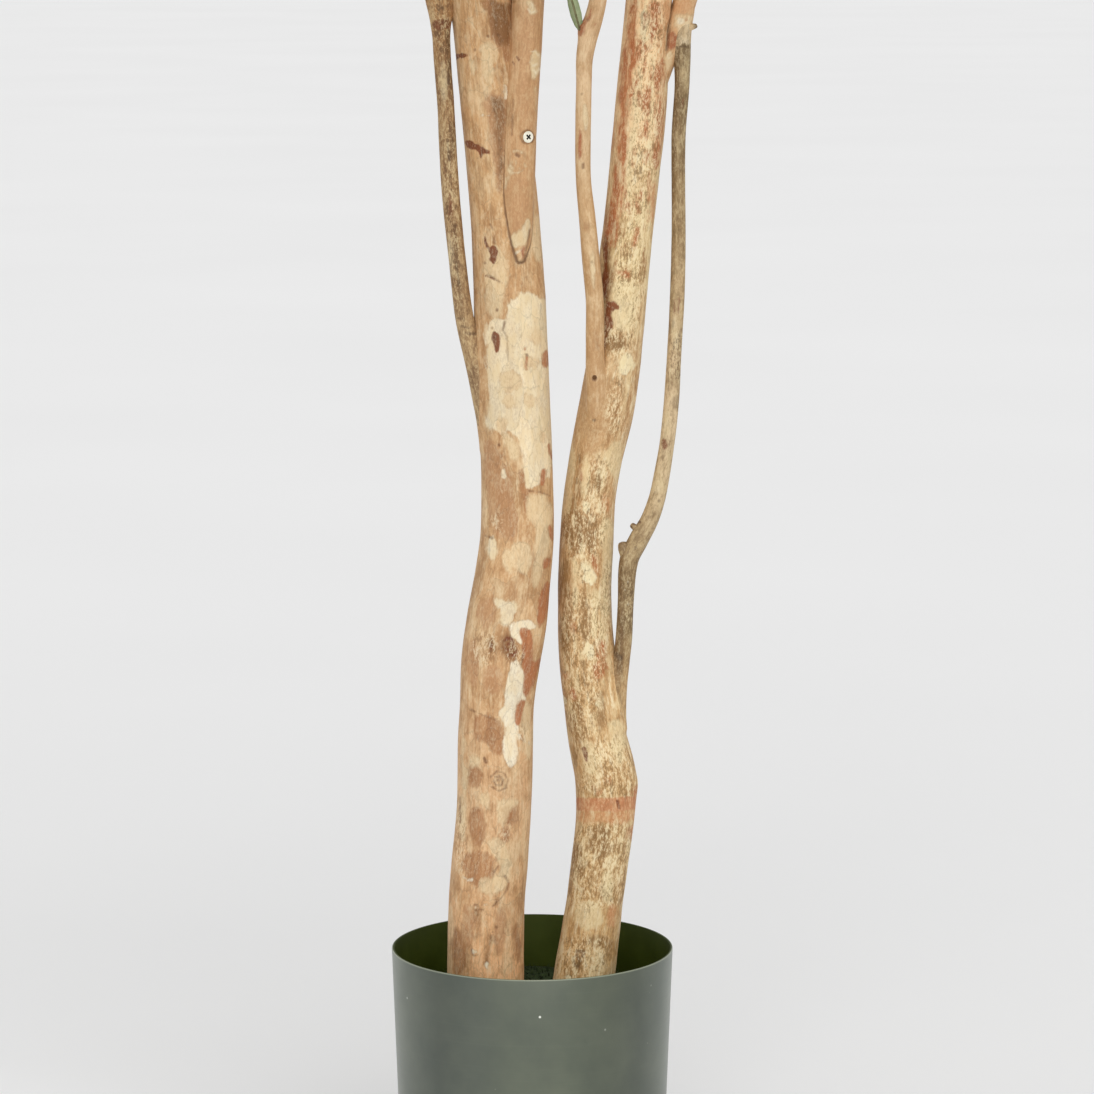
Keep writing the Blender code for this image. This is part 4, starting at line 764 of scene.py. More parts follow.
# Swellings of the wood: bough, place in the same pixels, reach in pixels, and height in metres
SWELLINGS = [
    ("trunk_left", 507, 644, 12, 0.0016), ("trunk_left", 498, 781, 11, 0.0010), ("trunk_left", 475, 907, 9, 0.0012),
    ("trunk_left", 475, 952, 8, 0.0010), ("trunk_left", 488, 36, 5, 0.0006), ("trunk_right", 634, 784, 14, 0.0010),
    ("trunk_right", 618, 804, 9, 0.0008), ("trunk_right", 577, 960, 9, 0.0009), ("limb_left", 517, 162, 12, 0.0011),
    ("branch_middle", 581, 29, 11, 0.0024), ("limb_left", 527.5, 137, 8, -0.0024),
    ("branch_middle", 594.5, 378.5, 5, -0.0004), ("branch_left", 440, 25, 12, 0.0008),
    ("branch_right", 636, 548, 6, 0.0007),
]


@dataclass
class Leaf:
    """Where a leaf is rooted, which way it runs, what its upper face looks at, and its share of full size."""

    place: Vector
    run: Vector
    facing: Vector
    size: float


@dataclass
class Shoot:
    """A stem or twig: points from its root to its tip, the guide of its arch, and what grows on it."""

    line: list
    guide: Vector
    length: float
    bare: float
    leaves: list = field(default_factory=list)


@dataclass
class Spray:
    """A stem whose foot stands in a bough, and its twigs."""

    number: int
    name: str
    root: Vector
    shoots: list


def turned(vector, degrees, axis):
    """A copy of a vector, turned about an axis."""
    made = vector.copy()
    made.rotate(Matrix.Rotation(math.radians(degrees), 3, axis))
    return made


def bough_at(stations, height):
    """Centre and radius of a bough at a height, on a smooth curve through its stations."""
    heights = [station[0] for station in stations]
    values = [Vector((x, y, z, radius)) for z, x, y, radius in stations]
    last = len(stations) - 1
    i = max(0, min(last - 1, sum(h <= height for h in heights) - 1))

    def slope(k):
        low, high = max(k - 1, 0), min(k + 1, last)
        return (values[high] - values[low]) / (heights[high] - heights[low])

    span = heights[i + 1] - heights[i]
    t = (height - heights[i]) / span
    value = (
        (2 * t**3 - 3 * t**2 + 1) * values[i]
        + (t**3 - 2 * t**2 + t) * span * slope(i)
        + (3 * t**2 - 2 * t**3) * values[i + 1]
        + (t**3 - t**2) * span * slope(i + 1)
    )
    return value.xyz, value.w


def bough_tangent(stations, height):
    low = max(stations[0][0], height - TANGENT_STEP)
    high = min(stations[-1][0], height + TANGENT_STEP)
    return (bough_at(stations, high)[0] - bough_at(stations, low)[0]).normalized()


class Taken:
    """The room already filled, as balls along every bough, stem, twig and leaf, each with its owner's name."""

    def __init__(self):
        self.points = np.zeros((0, 3))
        self.radii = np.zeros(0)
        self.owners = np.zeros(0, dtype="U20")

    def add(self, points, radius, owner):
        self.points = np.vstack([self.points, [tuple(point) for point in points]])
        self.radii = np.append(self.radii, np.full(len(points), radius))
        self.owners = np.append(self.owners, np.full(len(points), owner, dtype="U20"))

    def clear(self, points, radius, owner):
        """True if balls at these points stay clear of all that others own."""
        spots = np.array([tuple(point) for point in points])
        room = radius + CLEARANCE + MOST_BALL
        near = ((self.points > spots.min(axis=0) - room) & (self.points < spots.max(axis=0) + room)).all(axis=1)
        near &= self.owners != owner
        gaps = np.linalg.norm(spots[:, None] - self.points[near][None], axis=2) - self.radii[near]
        return bool((gaps > radius + CLEARANCE).all())


def in_box(points):
    """True if balls as wide as a leaf stay inside the model's box."""
    low, high = np.array(cad_box[0]) + LEAF_WIDTH / 3, np.array(cad_box[1]) - LEAF_WIDTH / 3
    spots = np.array([tuple(point) for point in points])
    return bool((spots > low).all() and (spots < high).all())


def along(line, share):
    """The point at a share of a line's length, and the line's direction there."""
    spans = [(b - a).length for a, b in zip(line, line[1:])]
    left = share * sum(spans)
    for a, b, span in zip(line, line[1:], spans):
        if left <= span * 1.0001:
            break
        left -= span
    return a.lerp(b, left / span), (b - a).normalized()


def arch(start, middle, end, segments):
    """Points on the curve that leaves its start towards the middle guide and comes from there to its end."""
    shares = [k / segments for k in range(segments + 1)]
    return [(1 - t) ** 2 * start + 2 * t * (1 - t) * middle + t**2 * end for t in shares]


def ball_line(line, step=BALL_STEP):
    """Points along a line, no further apart than a step."""
    points = []
    for a, b in zip(line, line[1:]):
        count = max(1, math.ceil((b - a).length / step))
        points += [a.lerp(b, k / count) for k in range(1, count + 1)]
    return points


def reach_to_outline(place, run):
    """How far it is from a place inside the crown's ellipsoid to its surface along a direction."""
    p = np.array(place - CROWN_CENTRE) / np.array(CROWN_RADII)
    d = np.array(run) / np.array(CROWN_RADII)
    a, b, c = d @ d, 2 * p @ d, p @ p - 1
    inside = b * b - 4 * a * c
    return float((-b + math.sqrt(inside)) / (2 * a)) if inside > 0 else 0.0


def grow_stem(mouth, start_run, end_run, rng):
    """The arch of a main stem from the mouth of its hole, with its end on the crown's outline."""
    length = min(STEM_LENGTHS[1], max(STEM_LENGTHS[0], reach_to_outline(mouth, end_run)))
    length *= rng.uniform(*STEM_LENGTH_SPREAD)
    end = mouth + length * end_run
    end.z = max(end.z, CROWN_FLOOR)
    guide = mouth + STEM_GUIDE * length * start_run
    return Shoot(arch(mouth, guide, end, STEM_SEGMENTS), guide, length, STEM_BARE)


def tip_stem(stations, rng):
    """The stem pushed into a bough's end: it carries the bough on and bends outwards."""
    centre, _ = bough_at(stations, stations[-1][0])
    tangent = bough_tangent(stations, stations[-1][0])
    outward = Vector((p / r for p, r in zip(centre - CROWN_CENTRE, CROWN_RADII)))
    end_run = (tangent + TIP_OUTWARD * outward).normalized()
    return centre - SOCKET_DEPTH * tangent, grow_stem(centre + SOCKET_PROUD * tangent, tangent, end_run, rng)


def side_stem(stations, height, heading, lean, proud, rng):
    """A stem pushed into a bough's side, at a lean from it, that bends to its heading once it is proud."""
    centre, radius = bough_at(stations, height)
    tangent = bough_tangent(stations, height)
    level = Vector((math.cos(math.radians(heading)), math.sin(math.radians(heading)), 0.0))
    side = (level - level.dot(tangent) * tangent).normalized()
    lean = math.radians(lean)
    start_run = math.sin(lean) * side + math.cos(lean) * tangent
    share = max(0.0, height - RISE_HEIGHTS[0]) / (RISE_HEIGHTS[1] - RISE_HEIGHTS[0])
    rise = STEM_RISES[0] + (STEM_RISES[1] - STEM_RISES[0]) * share
    rise = math.radians(rise + rng.uniform(-RISE_SPREAD, RISE_SPREAD))
    end_run = math.cos(rise) * level + math.sin(rise) * Vector((0, 0, 1))
    root = centre + max(0.0, radius - SOCKET_DEPTH) / math.sin(lean) * start_run
    mouth = centre + (radius + proud) / math.sin(lean) * start_run
    return root, grow_stem(mouth, start_run, end_run, rng)


def plan_sprays(taken):
    """Every spray's stem. Where others are in the way, it turns."""
    plans = [row.split() for row in SIDE_SPRAYS.split(";")]
    plans += [(bough, None, None) for bough in BOUGHS if bough != BARE_TIP]
    sprays = []
    for number, (bough, height, heading) in enumerate(plans, 1):
        name = f"spray_{number:02d}"
        lean, proud = (FORK_LEAN, FORK_PROUD) if number == 1 else (SOCKET_LEAN, SOCKET_PROUD)
        for attempt in range(TURN_TRIES):
            rng = random.Random(STEM_SEED_STEP * number + attempt)
            if height is None:
                root, stem = tip_stem(BOUGHS[bough], rng)
            else:
                turn = int(heading) + TURN_STEP * attempt
                root, stem = side_stem(BOUGHS[bough], float(height), turn, lean, proud, rng)
            # The first balls lie at the mouth, against the stem's own bough
            free = ball_line(stem.line)[2:]
            if taken.clear(free, STEM_RADIUS + STEM_ROOM, name):
                break
        taken.add(free, STEM_RADIUS, name)
        sprays.append(Spray(number, name, root, [stem]))
    return sprays


def grow_twigs(spray, taken, rng, finer):
    """Side twigs turn about a spray's stem by the golden angle where they have room, and finer ones between them."""
    stem = spray.shoots[0]
    stray = TWIG_SPREAD_DRAWS[finer]
    most, fall = TWIG_SHORTENINGS[finer]
    roll = rng.uniform(0, 360)
    for k, share in enumerate(MORE_TWIG_PLACES if finer else TWIG_PLACES):
        start, tangent = along(stem.line, share)
        across = turned(tangent.orthogonal().normalized(), roll + GOLDEN_ANGLE * k, tangent)
        run = turned(tangent, TWIG_SPREAD + rng.uniform(-stray, stray), across)
        length = TWIG_SHARE * stem.length * (most - fall * share)
        if finer:
            length *= rng.uniform(*MORE_TWIG_LENGTHS)
        end = start + length * run
        end.z = max(end.z, TWIG_FLOOR)
        guide = start + 0.5 * length * run.lerp(tangent, TWIG_BEND)
        line = arch(start, guide, end, TWIG_SEGMENTS)
        free = ball_line(line)
        if (not finer or in_box(free)) and taken.clear(free, TWIG_RADIUS + TWIG_ROOM, spray.name):
            taken.add(free, TWIG_RADIUS, spray.name)
            spray.shoots.append(Shoot(line, guide, length, TWIG_BARE))


def leaf_spots(shoot, seed):
    """Every (pair, leaf) on a shoot. The last one is the single leaf at its tip."""
    spots = []
    count = max(2, round(shoot.length * (1 - shoot.bare) / LEAF_SPACING))
    for k in range(count + 1):
        rng = random.Random(LEAF_SEED_STEP * seed + k)
        place, tangent = along(shoot.line, shoot.bare + (1 - shoot.bare) * k / count)
        across = turned(tangent.orthogonal().normalized(), PAIR_TURN * k + SHOOT_TURN * seed, tangent)
        if k == count:
            root = place - TIP_LEAF_ROOT * tangent
            spots.append((k, Leaf(root, tangent, across, rng.uniform(*TIP_LEAF_SIZES))))
            break
        for sign in (1, -1):
            lean = math.radians(rng.uniform(*LEAF_LEAN))
            run = math.cos(lean) * tangent + sign * math.sin(lean) * across
            run = (run + Vector((0, 0, rng.uniform(*LEAF_LIFT)))).normalized()
            facing = (tangent - tangent.dot(run) * run).normalized()
            spots.append((k, Leaf(place, run, facing, rng.uniform(*LEAF_SIZES))))
    return spots


def leaf_balls(leaf):
    """Balls along the middle of a leaf, which arches slightly backwards."""
    bends = [share * leaf.run - LEAF_ARCH * share**2 * leaf.facing for share in (0.0, 0.5, 1.0)]
    return ball_line([leaf.place + LEAF_LENGTH * leaf.size * bend for bend in bends], LEAF_BALL_STEP)


def add_leaves(spray, taken, finer):
    """Some of the pairs of each shoot and its tip's leaf, or the finer ones that these left free."""
    for k, shoot in enumerate(spray.shoots):
        spots = leaf_spots(shoot, SHOOT_SEED_STEP * spray.number + k)
        last = spots[-1][0]
        stride = TWIG_LEAF_STRIDE if k else LEAF_STRIDE
        for pair, leaf in spots:
            first = k <= len(TWIG_PLACES) and (pair == last or pair % stride == 1)
            if first == finer:
                continue
            balls = leaf_balls(leaf)
            fits = min(ball.z for ball in balls) > LEAF_FLOOR and (not finer or in_box(balls))
            if fits and taken.clear(balls, LEAF_WIDTH / 2, spray.name):
                shoot.leaves.append(leaf)
                taken.add(balls, LEAF_WIDTH / 2, spray.name)


def fork_leaf(spray):
    """The leaf that hangs in front of the lowest spray's stem."""
    place = spray.root.lerp(spray.shoots[0].line[0], FORK_LEAF_SHARE)
    run = Vector(FORK_LEAF_RUN).normalized()
    facing = Vector(FORK_LEAF_FACING)
    facing = (facing - facing.dot(run) * run).normalized()
    return Leaf(place - FORK_LEAF_BACK * facing, run, facing, FORK_LEAF_SIZE)


def linear(code):
    """An sRGB hex colour as the linear values that shaders take."""
    parts = [int(code[k : k + 2], 16) / 255 for k in (1, 3, 5)]
    return (*[part / 12.92 if part <= 0.04045 else ((part + 0.055) / 1.055) ** 2.4 for part in parts], 1.0)


def set_socket(tree, socket, value):
    """Gives a socket a number, or links it to a node or output."""
    if isinstance(value, bpy.types.Node):
        value = next(output for output in value.outputs if output.enabled)
    if isinstance(value, bpy.types.NodeSocket):
        tree.links.new(value, socket)
    elif value is not None:
        socket.default_value = value


def add(tree, kind, *values, stops="", **properties):
    """Adds a node. Its sockets in use take the values in turn, and None leaves one as it is."""
    made = tree.nodes.new("ShaderNode" + kind)
    for name, value in properties.items():
        setattr(made, name, value)
    for socket, value in zip([socket for socket in made.inputs if socket.enabled], values):
        set_socket(tree, socket, value)
    for k, stop in enumerate(stops.split(",") if stops else ()):
        place, code = stop.split()
        element = made.color_ramp.elements[k] if k < 2 else made.color_ramp.elements.new(float(place))
        element.position = float(place)
        element.color = linear(code)
    return made


def feed(shader, **values):
    """Sets the shader's own sockets."""
    for name, value in values.items():
        set_socket(shader.id_data, shader.inputs[name.replace("_", " ")], value)


def new_finish(name, **values):
    """A material, its shader with these values, and the function that adds nodes to it."""
    made = bpy.data.materials.new(name)
    made.use_nodes = True
    shader = made.node_tree.nodes["Principled BSDF"]
    feed(shader, **values)
    return made, shader, partial(add, made.node_tree)


def bark(name, tones, roughness, heights, patches, streaks, flecks, bands, fleck_shares, band_share, cells):
    """Bark of one bough. Its marks are outlined by attributes, whose edges the noise frays along the grain."""
    made, shader, node = new_finish(name, Roughness=roughness, IOR=NATURAL_IOR)
    mix = {"data_type": "RGBA"}
    grain = node("Attribute", attribute_name="grain").outputs["Vector"]
    place = node("SeparateXYZ", node("TexCoord").outputs["Object"])
    patchy = node("Mapping", grain, None, None, (1, 1, PATCH_STRETCH))
    patterns = [
        node("TexNoise", node("Mapping", grain, None, None, (1, 1, stretch)), scale, detail, rough, None, distortion)
        for stretch, scale, detail, rough, distortion in BARK_PATTERNS.values()
    ]
    streak, ragged, broad, mottle, warp, fray, fleck = patterns

    # The bark's colour by height, its own tone with painted light that lifts it in the shade of the pot and crown, with
    # broad patches, mottling, ragged bands and fibres along the grain
    level = node("MapRange", place.outputs["Z"], SEEN_LOW, SEEN_HIGH)
    colour = node("ValToRGB", level, stops=heights)
    deep = node("ValToRGB", level, stops=bands[1])
    layers = (
        (broad, patches, *PATCH_LAYER), (mottle, patches, *MOTTLE_LAYER),
        (ragged, (bands[0], deep), BAND_REACH, band_share), (streak, streaks, *STREAK_LAYER),
    )
    for pattern, pair, reach, share in layers:
        for tone, way in zip(pair, (1, -1)):
            start, end = (NOISE_MIDDLE + gap * way for gap in (LAYER_START, LAYER_START + reach))
            strength = node("MapRange", pattern, start, end, 0, share)
            colour = node("Mix", strength, colour, linear(tone) if isinstance(tone, str) else tone, **mix)

    # Flakes, stains and cracks. Each has two tones, a frayed edge, holes along the grain and a fine dark outline.
    gaps = node("MapRange", ragged, *HOLE_SPAN)
    of_streak, of_flake, of_fleck, of_band = BARK_HEIGHTS
    height = node("Math", streak, of_streak, operation="MULTIPLY")
    for row in TONES[tones].strip().splitlines():
        layer, tone, other_tone, *numbers = row.split()
        wobble, edge, share, outline, broken = (float(number) for number in numbers)
        distance = node("Attribute", attribute_name="mark_" + layer).outputs["Fac"]
        for pattern, amount in ((warp, wobble), (fray, FRAY_SHARE * wobble)):
            distance = node("Math", distance, node("MapRange", pattern, *NOISE_SPAN, -amount, amount), operation="ADD")
        inside = node("MapRange", distance, edge, -edge, 0, share)
        if broken:
            kept = node("Math", gaps, -broken, 1.0, operation="MULTIPLY_ADD")
            inside = node("Math", inside, kept, operation="MULTIPLY")
        toned = node("Mix", node("MapRange", mottle, *TONE_SPAN), linear(tone), linear(other_tone), **mix)
        if outline:
            rim = node("MapRange", node("Math", distance, operation="ABSOLUTE"), *RIM_SPAN, 0, outline)
            colour = node("Mix", rim, colour, linear(RIM_BROWN), **mix)
        colour = node("Mix", inside, colour, toned, **mix)
        if layer in SUNK_LAYERS:
            height = node("Math", height, node("Math", inside, of_flake, operation="MULTIPLY"), operation="SUBTRACT")

    # Puzzle-shaped flakes that differ a little in tone, with hairline cracks between them
    bend = node("TexNoise", patchy, CELL_BEND_SCALE, 2).outputs["Color"]
    bent = node("VectorMath", patchy, node("VectorMath", bend, CELL_BEND, operation="SCALE"), operation="ADD")
    flakes = node("TexVoronoi", bent, CELL_SCALE).outputs["Color"]
    cracks = node("TexVoronoi", bent, CELL_SCALE, feature="DISTANCE_TO_EDGE")
    tone = node("MapRange", node("SeparateColor", flakes), 0, 1, 1 - cells[0], 1 + cells[0])
    crack = node("MapRange", cracks, 0, CRACK_WIDTH, 1 - cells[1], 1)
    colour = node("VectorMath", colour, node("Math", tone, crack, operation="MULTIPLY"), operation="SCALE")

    # Fine flecks in clusters, strong where the bark is speckled and faint elsewhere
    distance = node("Attribute", attribute_name="mark_speckle").outputs["Fac"]
    stray = node("MapRange", warp, *NOISE_SPAN, -SPECKLE_STRAY, SPECKLE_STRAY)
    strong = node("MapRange", node("Math", distance, stray, operation="ADD"), *SPECKLE_SPAN, *fleck_shares)
    cluster = node("Math", mottle, *CLUSTERING, operation="MULTIPLY_ADD")
    grains = node("Math", fleck, cluster, operation="ADD")
    for code, span in zip(flecks, FLECK_SPANS):
        dots = node("Math", node("MapRange", grains, *span), strong, operation="MULTIPLY")
        colour = node("Mix", dots, colour, linear(code), **mix)

    # Painted shade along the crease where another bough lies in this one
    stray = node("MapRange", fray, *NOISE_SPAN, -SEAM_STRAY, SEAM_STRAY)
    seam = node("Math", node("Attribute", attribute_name="seam").outputs["Fac"], stray, operation="ADD")
    crease_shade = node("MapRange", seam, *SEAM_WIDTHS, 0, CREASE_SHADE_DARKNESS)
    colour = node("Mix", crease_shade, colour, linear(CREASE_SHADE_BROWN), **mix)
    height = node("Math", fleck, of_fleck, height, operation="MULTIPLY_ADD")
    height = node("Math", ragged, of_band, height, operation="MULTIPLY_ADD")
    feed(shader, Base_Color=colour, Normal=node("Bump", *BARK_BUMP, None, height))
    return made


def seen_at(points):
    """Where points show in the reference view, in its pixels, with +v downwards."""
    rel = points - np.array(CAMERA_PLACE)
    dip = np.array([0.0, math.cos(CAMERA_DIP), -math.sin(CAMERA_DIP)])
    up = np.array([0.0, math.sin(CAMERA_DIP), math.cos(CAMERA_DIP)])
    scale = PICTURE * LENS / SENSOR / (rel @ dip)
    return np.stack([PICTURE / 2 + scale * rel[:, 0], PICTURE / 2 - scale * (rel @ up)], axis=1)


def mark_distance(pixels, mark):
    """Each point's distance in pixels to one mark's outline, negative inside it, and MARK_REACH where it is far."""
    width, _, text = mark.rpartition(":")
    half_width = float(width or 0)
    path = np.array([[float(part) for part in pair.split(",")] for pair in text.split()])
    for _ in range(0 if half_width else 2):
        # A patch has its corners cut twice
        after = np.roll(path, -1, axis=0)
        path = np.stack([0.75 * path + 0.25 * after, 0.25 * path + 0.75 * after], axis=1).reshape(-1, 2)
    distance = np.full(len(pixels), MARK_REACH)
    reach = MARK_REACH + half_width
    near = ((pixels > path.min(axis=0) - reach) & (pixels < path.max(axis=0) + reach)).all(axis=1)
    spots = pixels[near]
    if not len(spots):
        return distance
    starts = path
    ends = np.roll(path, -1, axis=0)
    if half_width and len(path) > 1:
        starts, ends = starts[:-1], ends[:-1]
    runs = ends - starts
    rel = spots[:, None] - starts
    share = np.clip((rel * runs).sum(axis=2) / np.maximum((runs * runs).sum(axis=1), TINY), 0, 1)
    gap = np.linalg.norm(rel - share[..., None] * runs, axis=2).min(axis=1) - half_width
    if not half_width:
        over = (starts[:, 1] > spots[:, None, 1]) != (ends[:, 1] > spots[:, None, 1])
        rise = np.where(runs[:, 1] == 0, TINY, runs[:, 1])
        left = spots[:, None, 0] < starts[:, 0] + (spots[:, None, 1] - starts[:, 1]) * runs[:, 0] / rise
        gap = np.where((over & left).sum(axis=1) % 2 == 1, -gap, gap)
    distance[near] = np.clip(gap, -MARK_REACH, MARK_REACH)
    return distance


def finished_mesh(bm, name):
    mesh = bpy.data.meshes.new(name)
    bm.to_mesh(mesh)
    bm.free()
    return mesh


def add_mesh(bm, part):
    """Adds a mesh to a bmesh that has lost no vertex, so that the new vertices come last, and returns them."""
    before = len(bm.verts)
    bm.from_mesh(part)
    return list(bm.verts)[before:]


def join(bm, parts):
    """Adds meshes that are not needed on their own."""
    for part in parts:
        add_mesh(bm, part)
        bpy.data.meshes.remove(part)


def tube_mesh(places, sides, lean_to_front=0.0):
    """A grid rolled round the places' unit rings, closed at both ends. More of its corners can lie at the front."""
    turns = np.linspace(-math.pi, math.pi, sides + 1)
    turns = turns - lean_to_front * np.sin(turns)
    ring = np.stack([np.sin(turns), -np.cos(turns), 0 * turns, 1 + 0 * turns])
    spots = np.array([(np.array(place) @ ring)[:3].T for place in places])
    bm = bmesh.new()
    bmesh.ops.create_grid(bm, x_segments=sides, y_segments=len(places) - 1, size=1.0)
    lap = []
    for vert in bm.verts:
        column = round((vert.co.x + 1) / 2 * sides)
        row = round((vert.co.y + 1) / 2 * (len(places) - 1))
        vert.co = spots[row, column]
        if column in (0, sides):
            lap.append(vert)
    bmesh.ops.remove_doubles(bm, verts=lap, dist=MERGE_GAP)
    bmesh.ops.holes_fill(bm, edges=[edge for edge in bm.edges if edge.is_boundary], sides=0)
    bmesh.ops.recalc_face_normals(bm, faces=bm.faces)
    return finished_mesh(bm, "tube")


def ring_place(centre, tangent, radius, reference):
    across = (reference - reference.dot(tangent) * tangent).normalized()
    around = tangent.cross(across)
    turn = Matrix((radius * across, radius * around, tangent)).transposed().to_4x4()
    return Matrix.Translation(centre) @ turn


def line_places(points, radii):
    """Frames of the rings along a stem or stub."""
    run = (points[-1] - points[0]).normalized()
    reference = min((Vector((1, 0, 0)), Vector((0, 1, 0)), Vector((0, 0, 1))), key=lambda axis: abs(axis.dot(run)))
    places = []
    for k, (point, radius) in enumerate(zip(points, radii)):
        tangent = (points[min(k + 1, len(points) - 1)] - points[max(k - 1, 0)]).normalized()
        places.append(ring_place(point, tangent, radius, reference))
    return places


def bough_places(stations, spacing):
    """Frames of the rings along a bough, close together where its bark is seen, and a rounded end on top."""
    height, last = stations[0][0], stations[-1][0]
    reference = Vector((1, 0, 0))
    places = []
    while True:
        centre, radius = bough_at(stations, height)
        tangent = bough_tangent(stations, height)
        places.append(ring_place(centre, tangent, radius, reference))
        if height >= last:
            break
        step = spacing if SEEN_LOW - SEEN_MARGINS[0] < height < SEEN_HIGH + SEEN_MARGINS[1] else HIDDEN_SPACING
        height = min(last, height + step * tangent.z)
    for turn in END_TURNS:
        turn = math.radians(turn)
        raised = centre + END_ROUND * radius * math.sin(turn) * tangent
        places.append(ring_place(raised, tangent, radius * math.cos(turn), reference))
    return places


def gap_to(points, stations):
    """Each point's rough distance to a bough's surface, negative inside it."""
    heights = np.linspace(stations[0][0], stations[-1][0], GAP_STEPS).tolist()
    table = np.array([(*bough_at(stations, height)[0], bough_at(stations, height)[1]) for height in heights])
    lean = np.array([bough_tangent(stations, height).z for height in heights])
    x, y, _, radius = (np.interp(points[:, 2], heights, column) for column in table.T)
    steep = np.interp(points[:, 2], heights, lean)
    beyond = np.maximum(heights[0] - points[:, 2], 0) + np.maximum(points[:, 2] - heights[-1], 0)
    return np.hypot(points[:, 0] - x, points[:, 1] - y) * steep - radius + beyond


def build_bough(name, finish):
    """A bough and the forks that grew with it, with relief, swollen joints and the outlines of its marks."""
    sides, spacing, neighbours = WOOD[name]
    boughs = dict(BOUGHS)
    for bough, changes in FINE_STATIONS.items():
        boughs[bough] = [(station[0], *changes.get(station[0], station[1:])) for station in boughs[bough]]
    tubes = [(bough_places(boughs[name], spacing), sides, FRONT_LEAN)]
    for fork, parent in FORKS.items():
        if parent == name:
            tubes.append((bough_places(boughs[fork], HIDDEN_SPACING), FORK_RING_SIDES, 0.0))
    if name == "branch_right":
        for place, direction, length, radius in STUBS:
            run = Vector(direction).normalized()
            points = [Vector(place) + share * length * run for share, _ in STUB_RINGS]
            tubes.append((line_places(points, [radius * k for _, k in STUB_RINGS]), STUB_RING_SIDES, 0.0))
    bm = bmesh.new()
    join(bm, [tube_mesh(*tube) for tube in tubes])
    mesh = finished_mesh(bm, name)
    rings = [(np.array(place), count) for places, count, _ in tubes for place in places]
    counts = np.array([count for _, count in rings])
    frames = np.repeat(np.array([place for place, _ in rings]), counts, axis=0)
    spots = np.empty(len(mesh.vertices) * 3)
    mesh.vertices.foreach_get("co", spots)
    spots = spots.reshape(-1, 3)
    centre, across, around = (frames[:, :3, k] for k in (3, 0, 1))
    radius = np.linalg.norm(across, axis=1)
    rel = spots - centre
    cosine = (rel * across).sum(axis=1) / radius**2
    sine = (rel * around).sum(axis=1) / radius**2
    steps = np.linalg.norm(np.diff([place[:3, 3] for place, _ in rings], axis=0), axis=1)
    lengths = np.repeat(np.concatenate([[0], np.cumsum(np.minimum(steps, 2 * HIDDEN_SPACING))]), counts)
    grain = np.stack([radius * cosine, radius * sine, lengths], axis=1)

    # Marks at the back repeat those at the front, across the bough's middle. Forks have none.
    front = centre + cosine[:, None] * across - np.abs(sine)[:, None] * around
    own = len(spots) if name == "branch_right" else sides * len(tubes[0][0])
    pixels = seen_at(front[:own])
    for layer in LAYERS:
        distance = np.full(len(spots), MARK_REACH)
        for mark in filter(None, MARKS[name].get(layer, "").split(";")):
            distance[:own] = np.minimum(distance[:own], mark_distance(pixels, mark))
        mesh.attributes.new("mark_" + layer, "FLOAT", "POINT").data.foreach_set("value", distance)

    out = (cosine[:, None] * across + sine[:, None] * around) / radius[:, None]
    rise = np.array([
        RELIEF * noise.noise(Vector(spot * RELIEF_WAVES)) + FINE_RELIEF * noise.noise(Vector(spot * FINE_RELIEF_WAVES))
        for spot in grain
    ])
    rise *= np.minimum(1.0, radius / RELIEF_FULL_RADIUS)
    for bough, u, v, reach, amount in SWELLINGS:
        if bough == name:
            share = np.exp(-(((pixels - (u, v)) / reach) ** 2).sum(axis=1) * 2) * (sine[:own] < SWELLING_SIDE)
            rise[:own] = (1 - share) * rise[:own] + amount * share
    seam = np.full(len(spots), SEAM_REACH)
    order = list(WOOD)
    for other in neighbours:
        let_in = max(name, other, key=order.index)
        gap = np.maximum(gap_to(spots, boughs[other]), 0.0)
        faint = 1 - np.interp(spots[:, 2], *zip(*CREASE_SHADE_LINES[let_in]))
        seam = np.minimum(seam, gap + SEAM_FADE * faint)
        if let_in in GROWN:
            low, high = GROWN[let_in]
            lower = np.clip((high - spots[:, 2]) / max(high - low, MERGE_GAP), 0, 1)
            rise += FILLET / 4 * lower * np.clip(1 - gap / FILLET, 0, 1) ** 2
    mesh.vertices.foreach_set("co", (spots + rise[:, None] * out).ravel())
    mesh.attributes.new("seam", "FLOAT", "POINT").data.foreach_set("value", seam)
    mesh.attributes.new("grain", "FLOAT_VECTOR", "POINT").data.foreach_set("vector", grain.ravel())
    piece(name + "_bark", mesh, [finish], name)


def piece(name, mesh, finishes, node):
    """A finished piece that stands for a node of the model."""
    for finish in finishes:
        mesh.materials.append(finish)
    mesh.shade_smooth()
    made = bpy.data.objects.new(name, mesh)
    bpy.context.scene.collection.objects.link(made)
    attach(made, "root")
    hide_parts(node)
    return made


def twig_finish():
    # Lacquered polyester twigs: a matt grey-green brown with faint bands
    made, shader, node = new_finish("wrapped_stem", Roughness=0.7, IOR=NATURAL_IOR)
    bands = node("TexNoise", node("TexCoord").outputs["Object"], *TWIG_BANDS)
    feed(shader, Base_Color=node("ValToRGB", bands, stops="0.3 #5E5A3A, 0.7 #8B8660"))
    return made


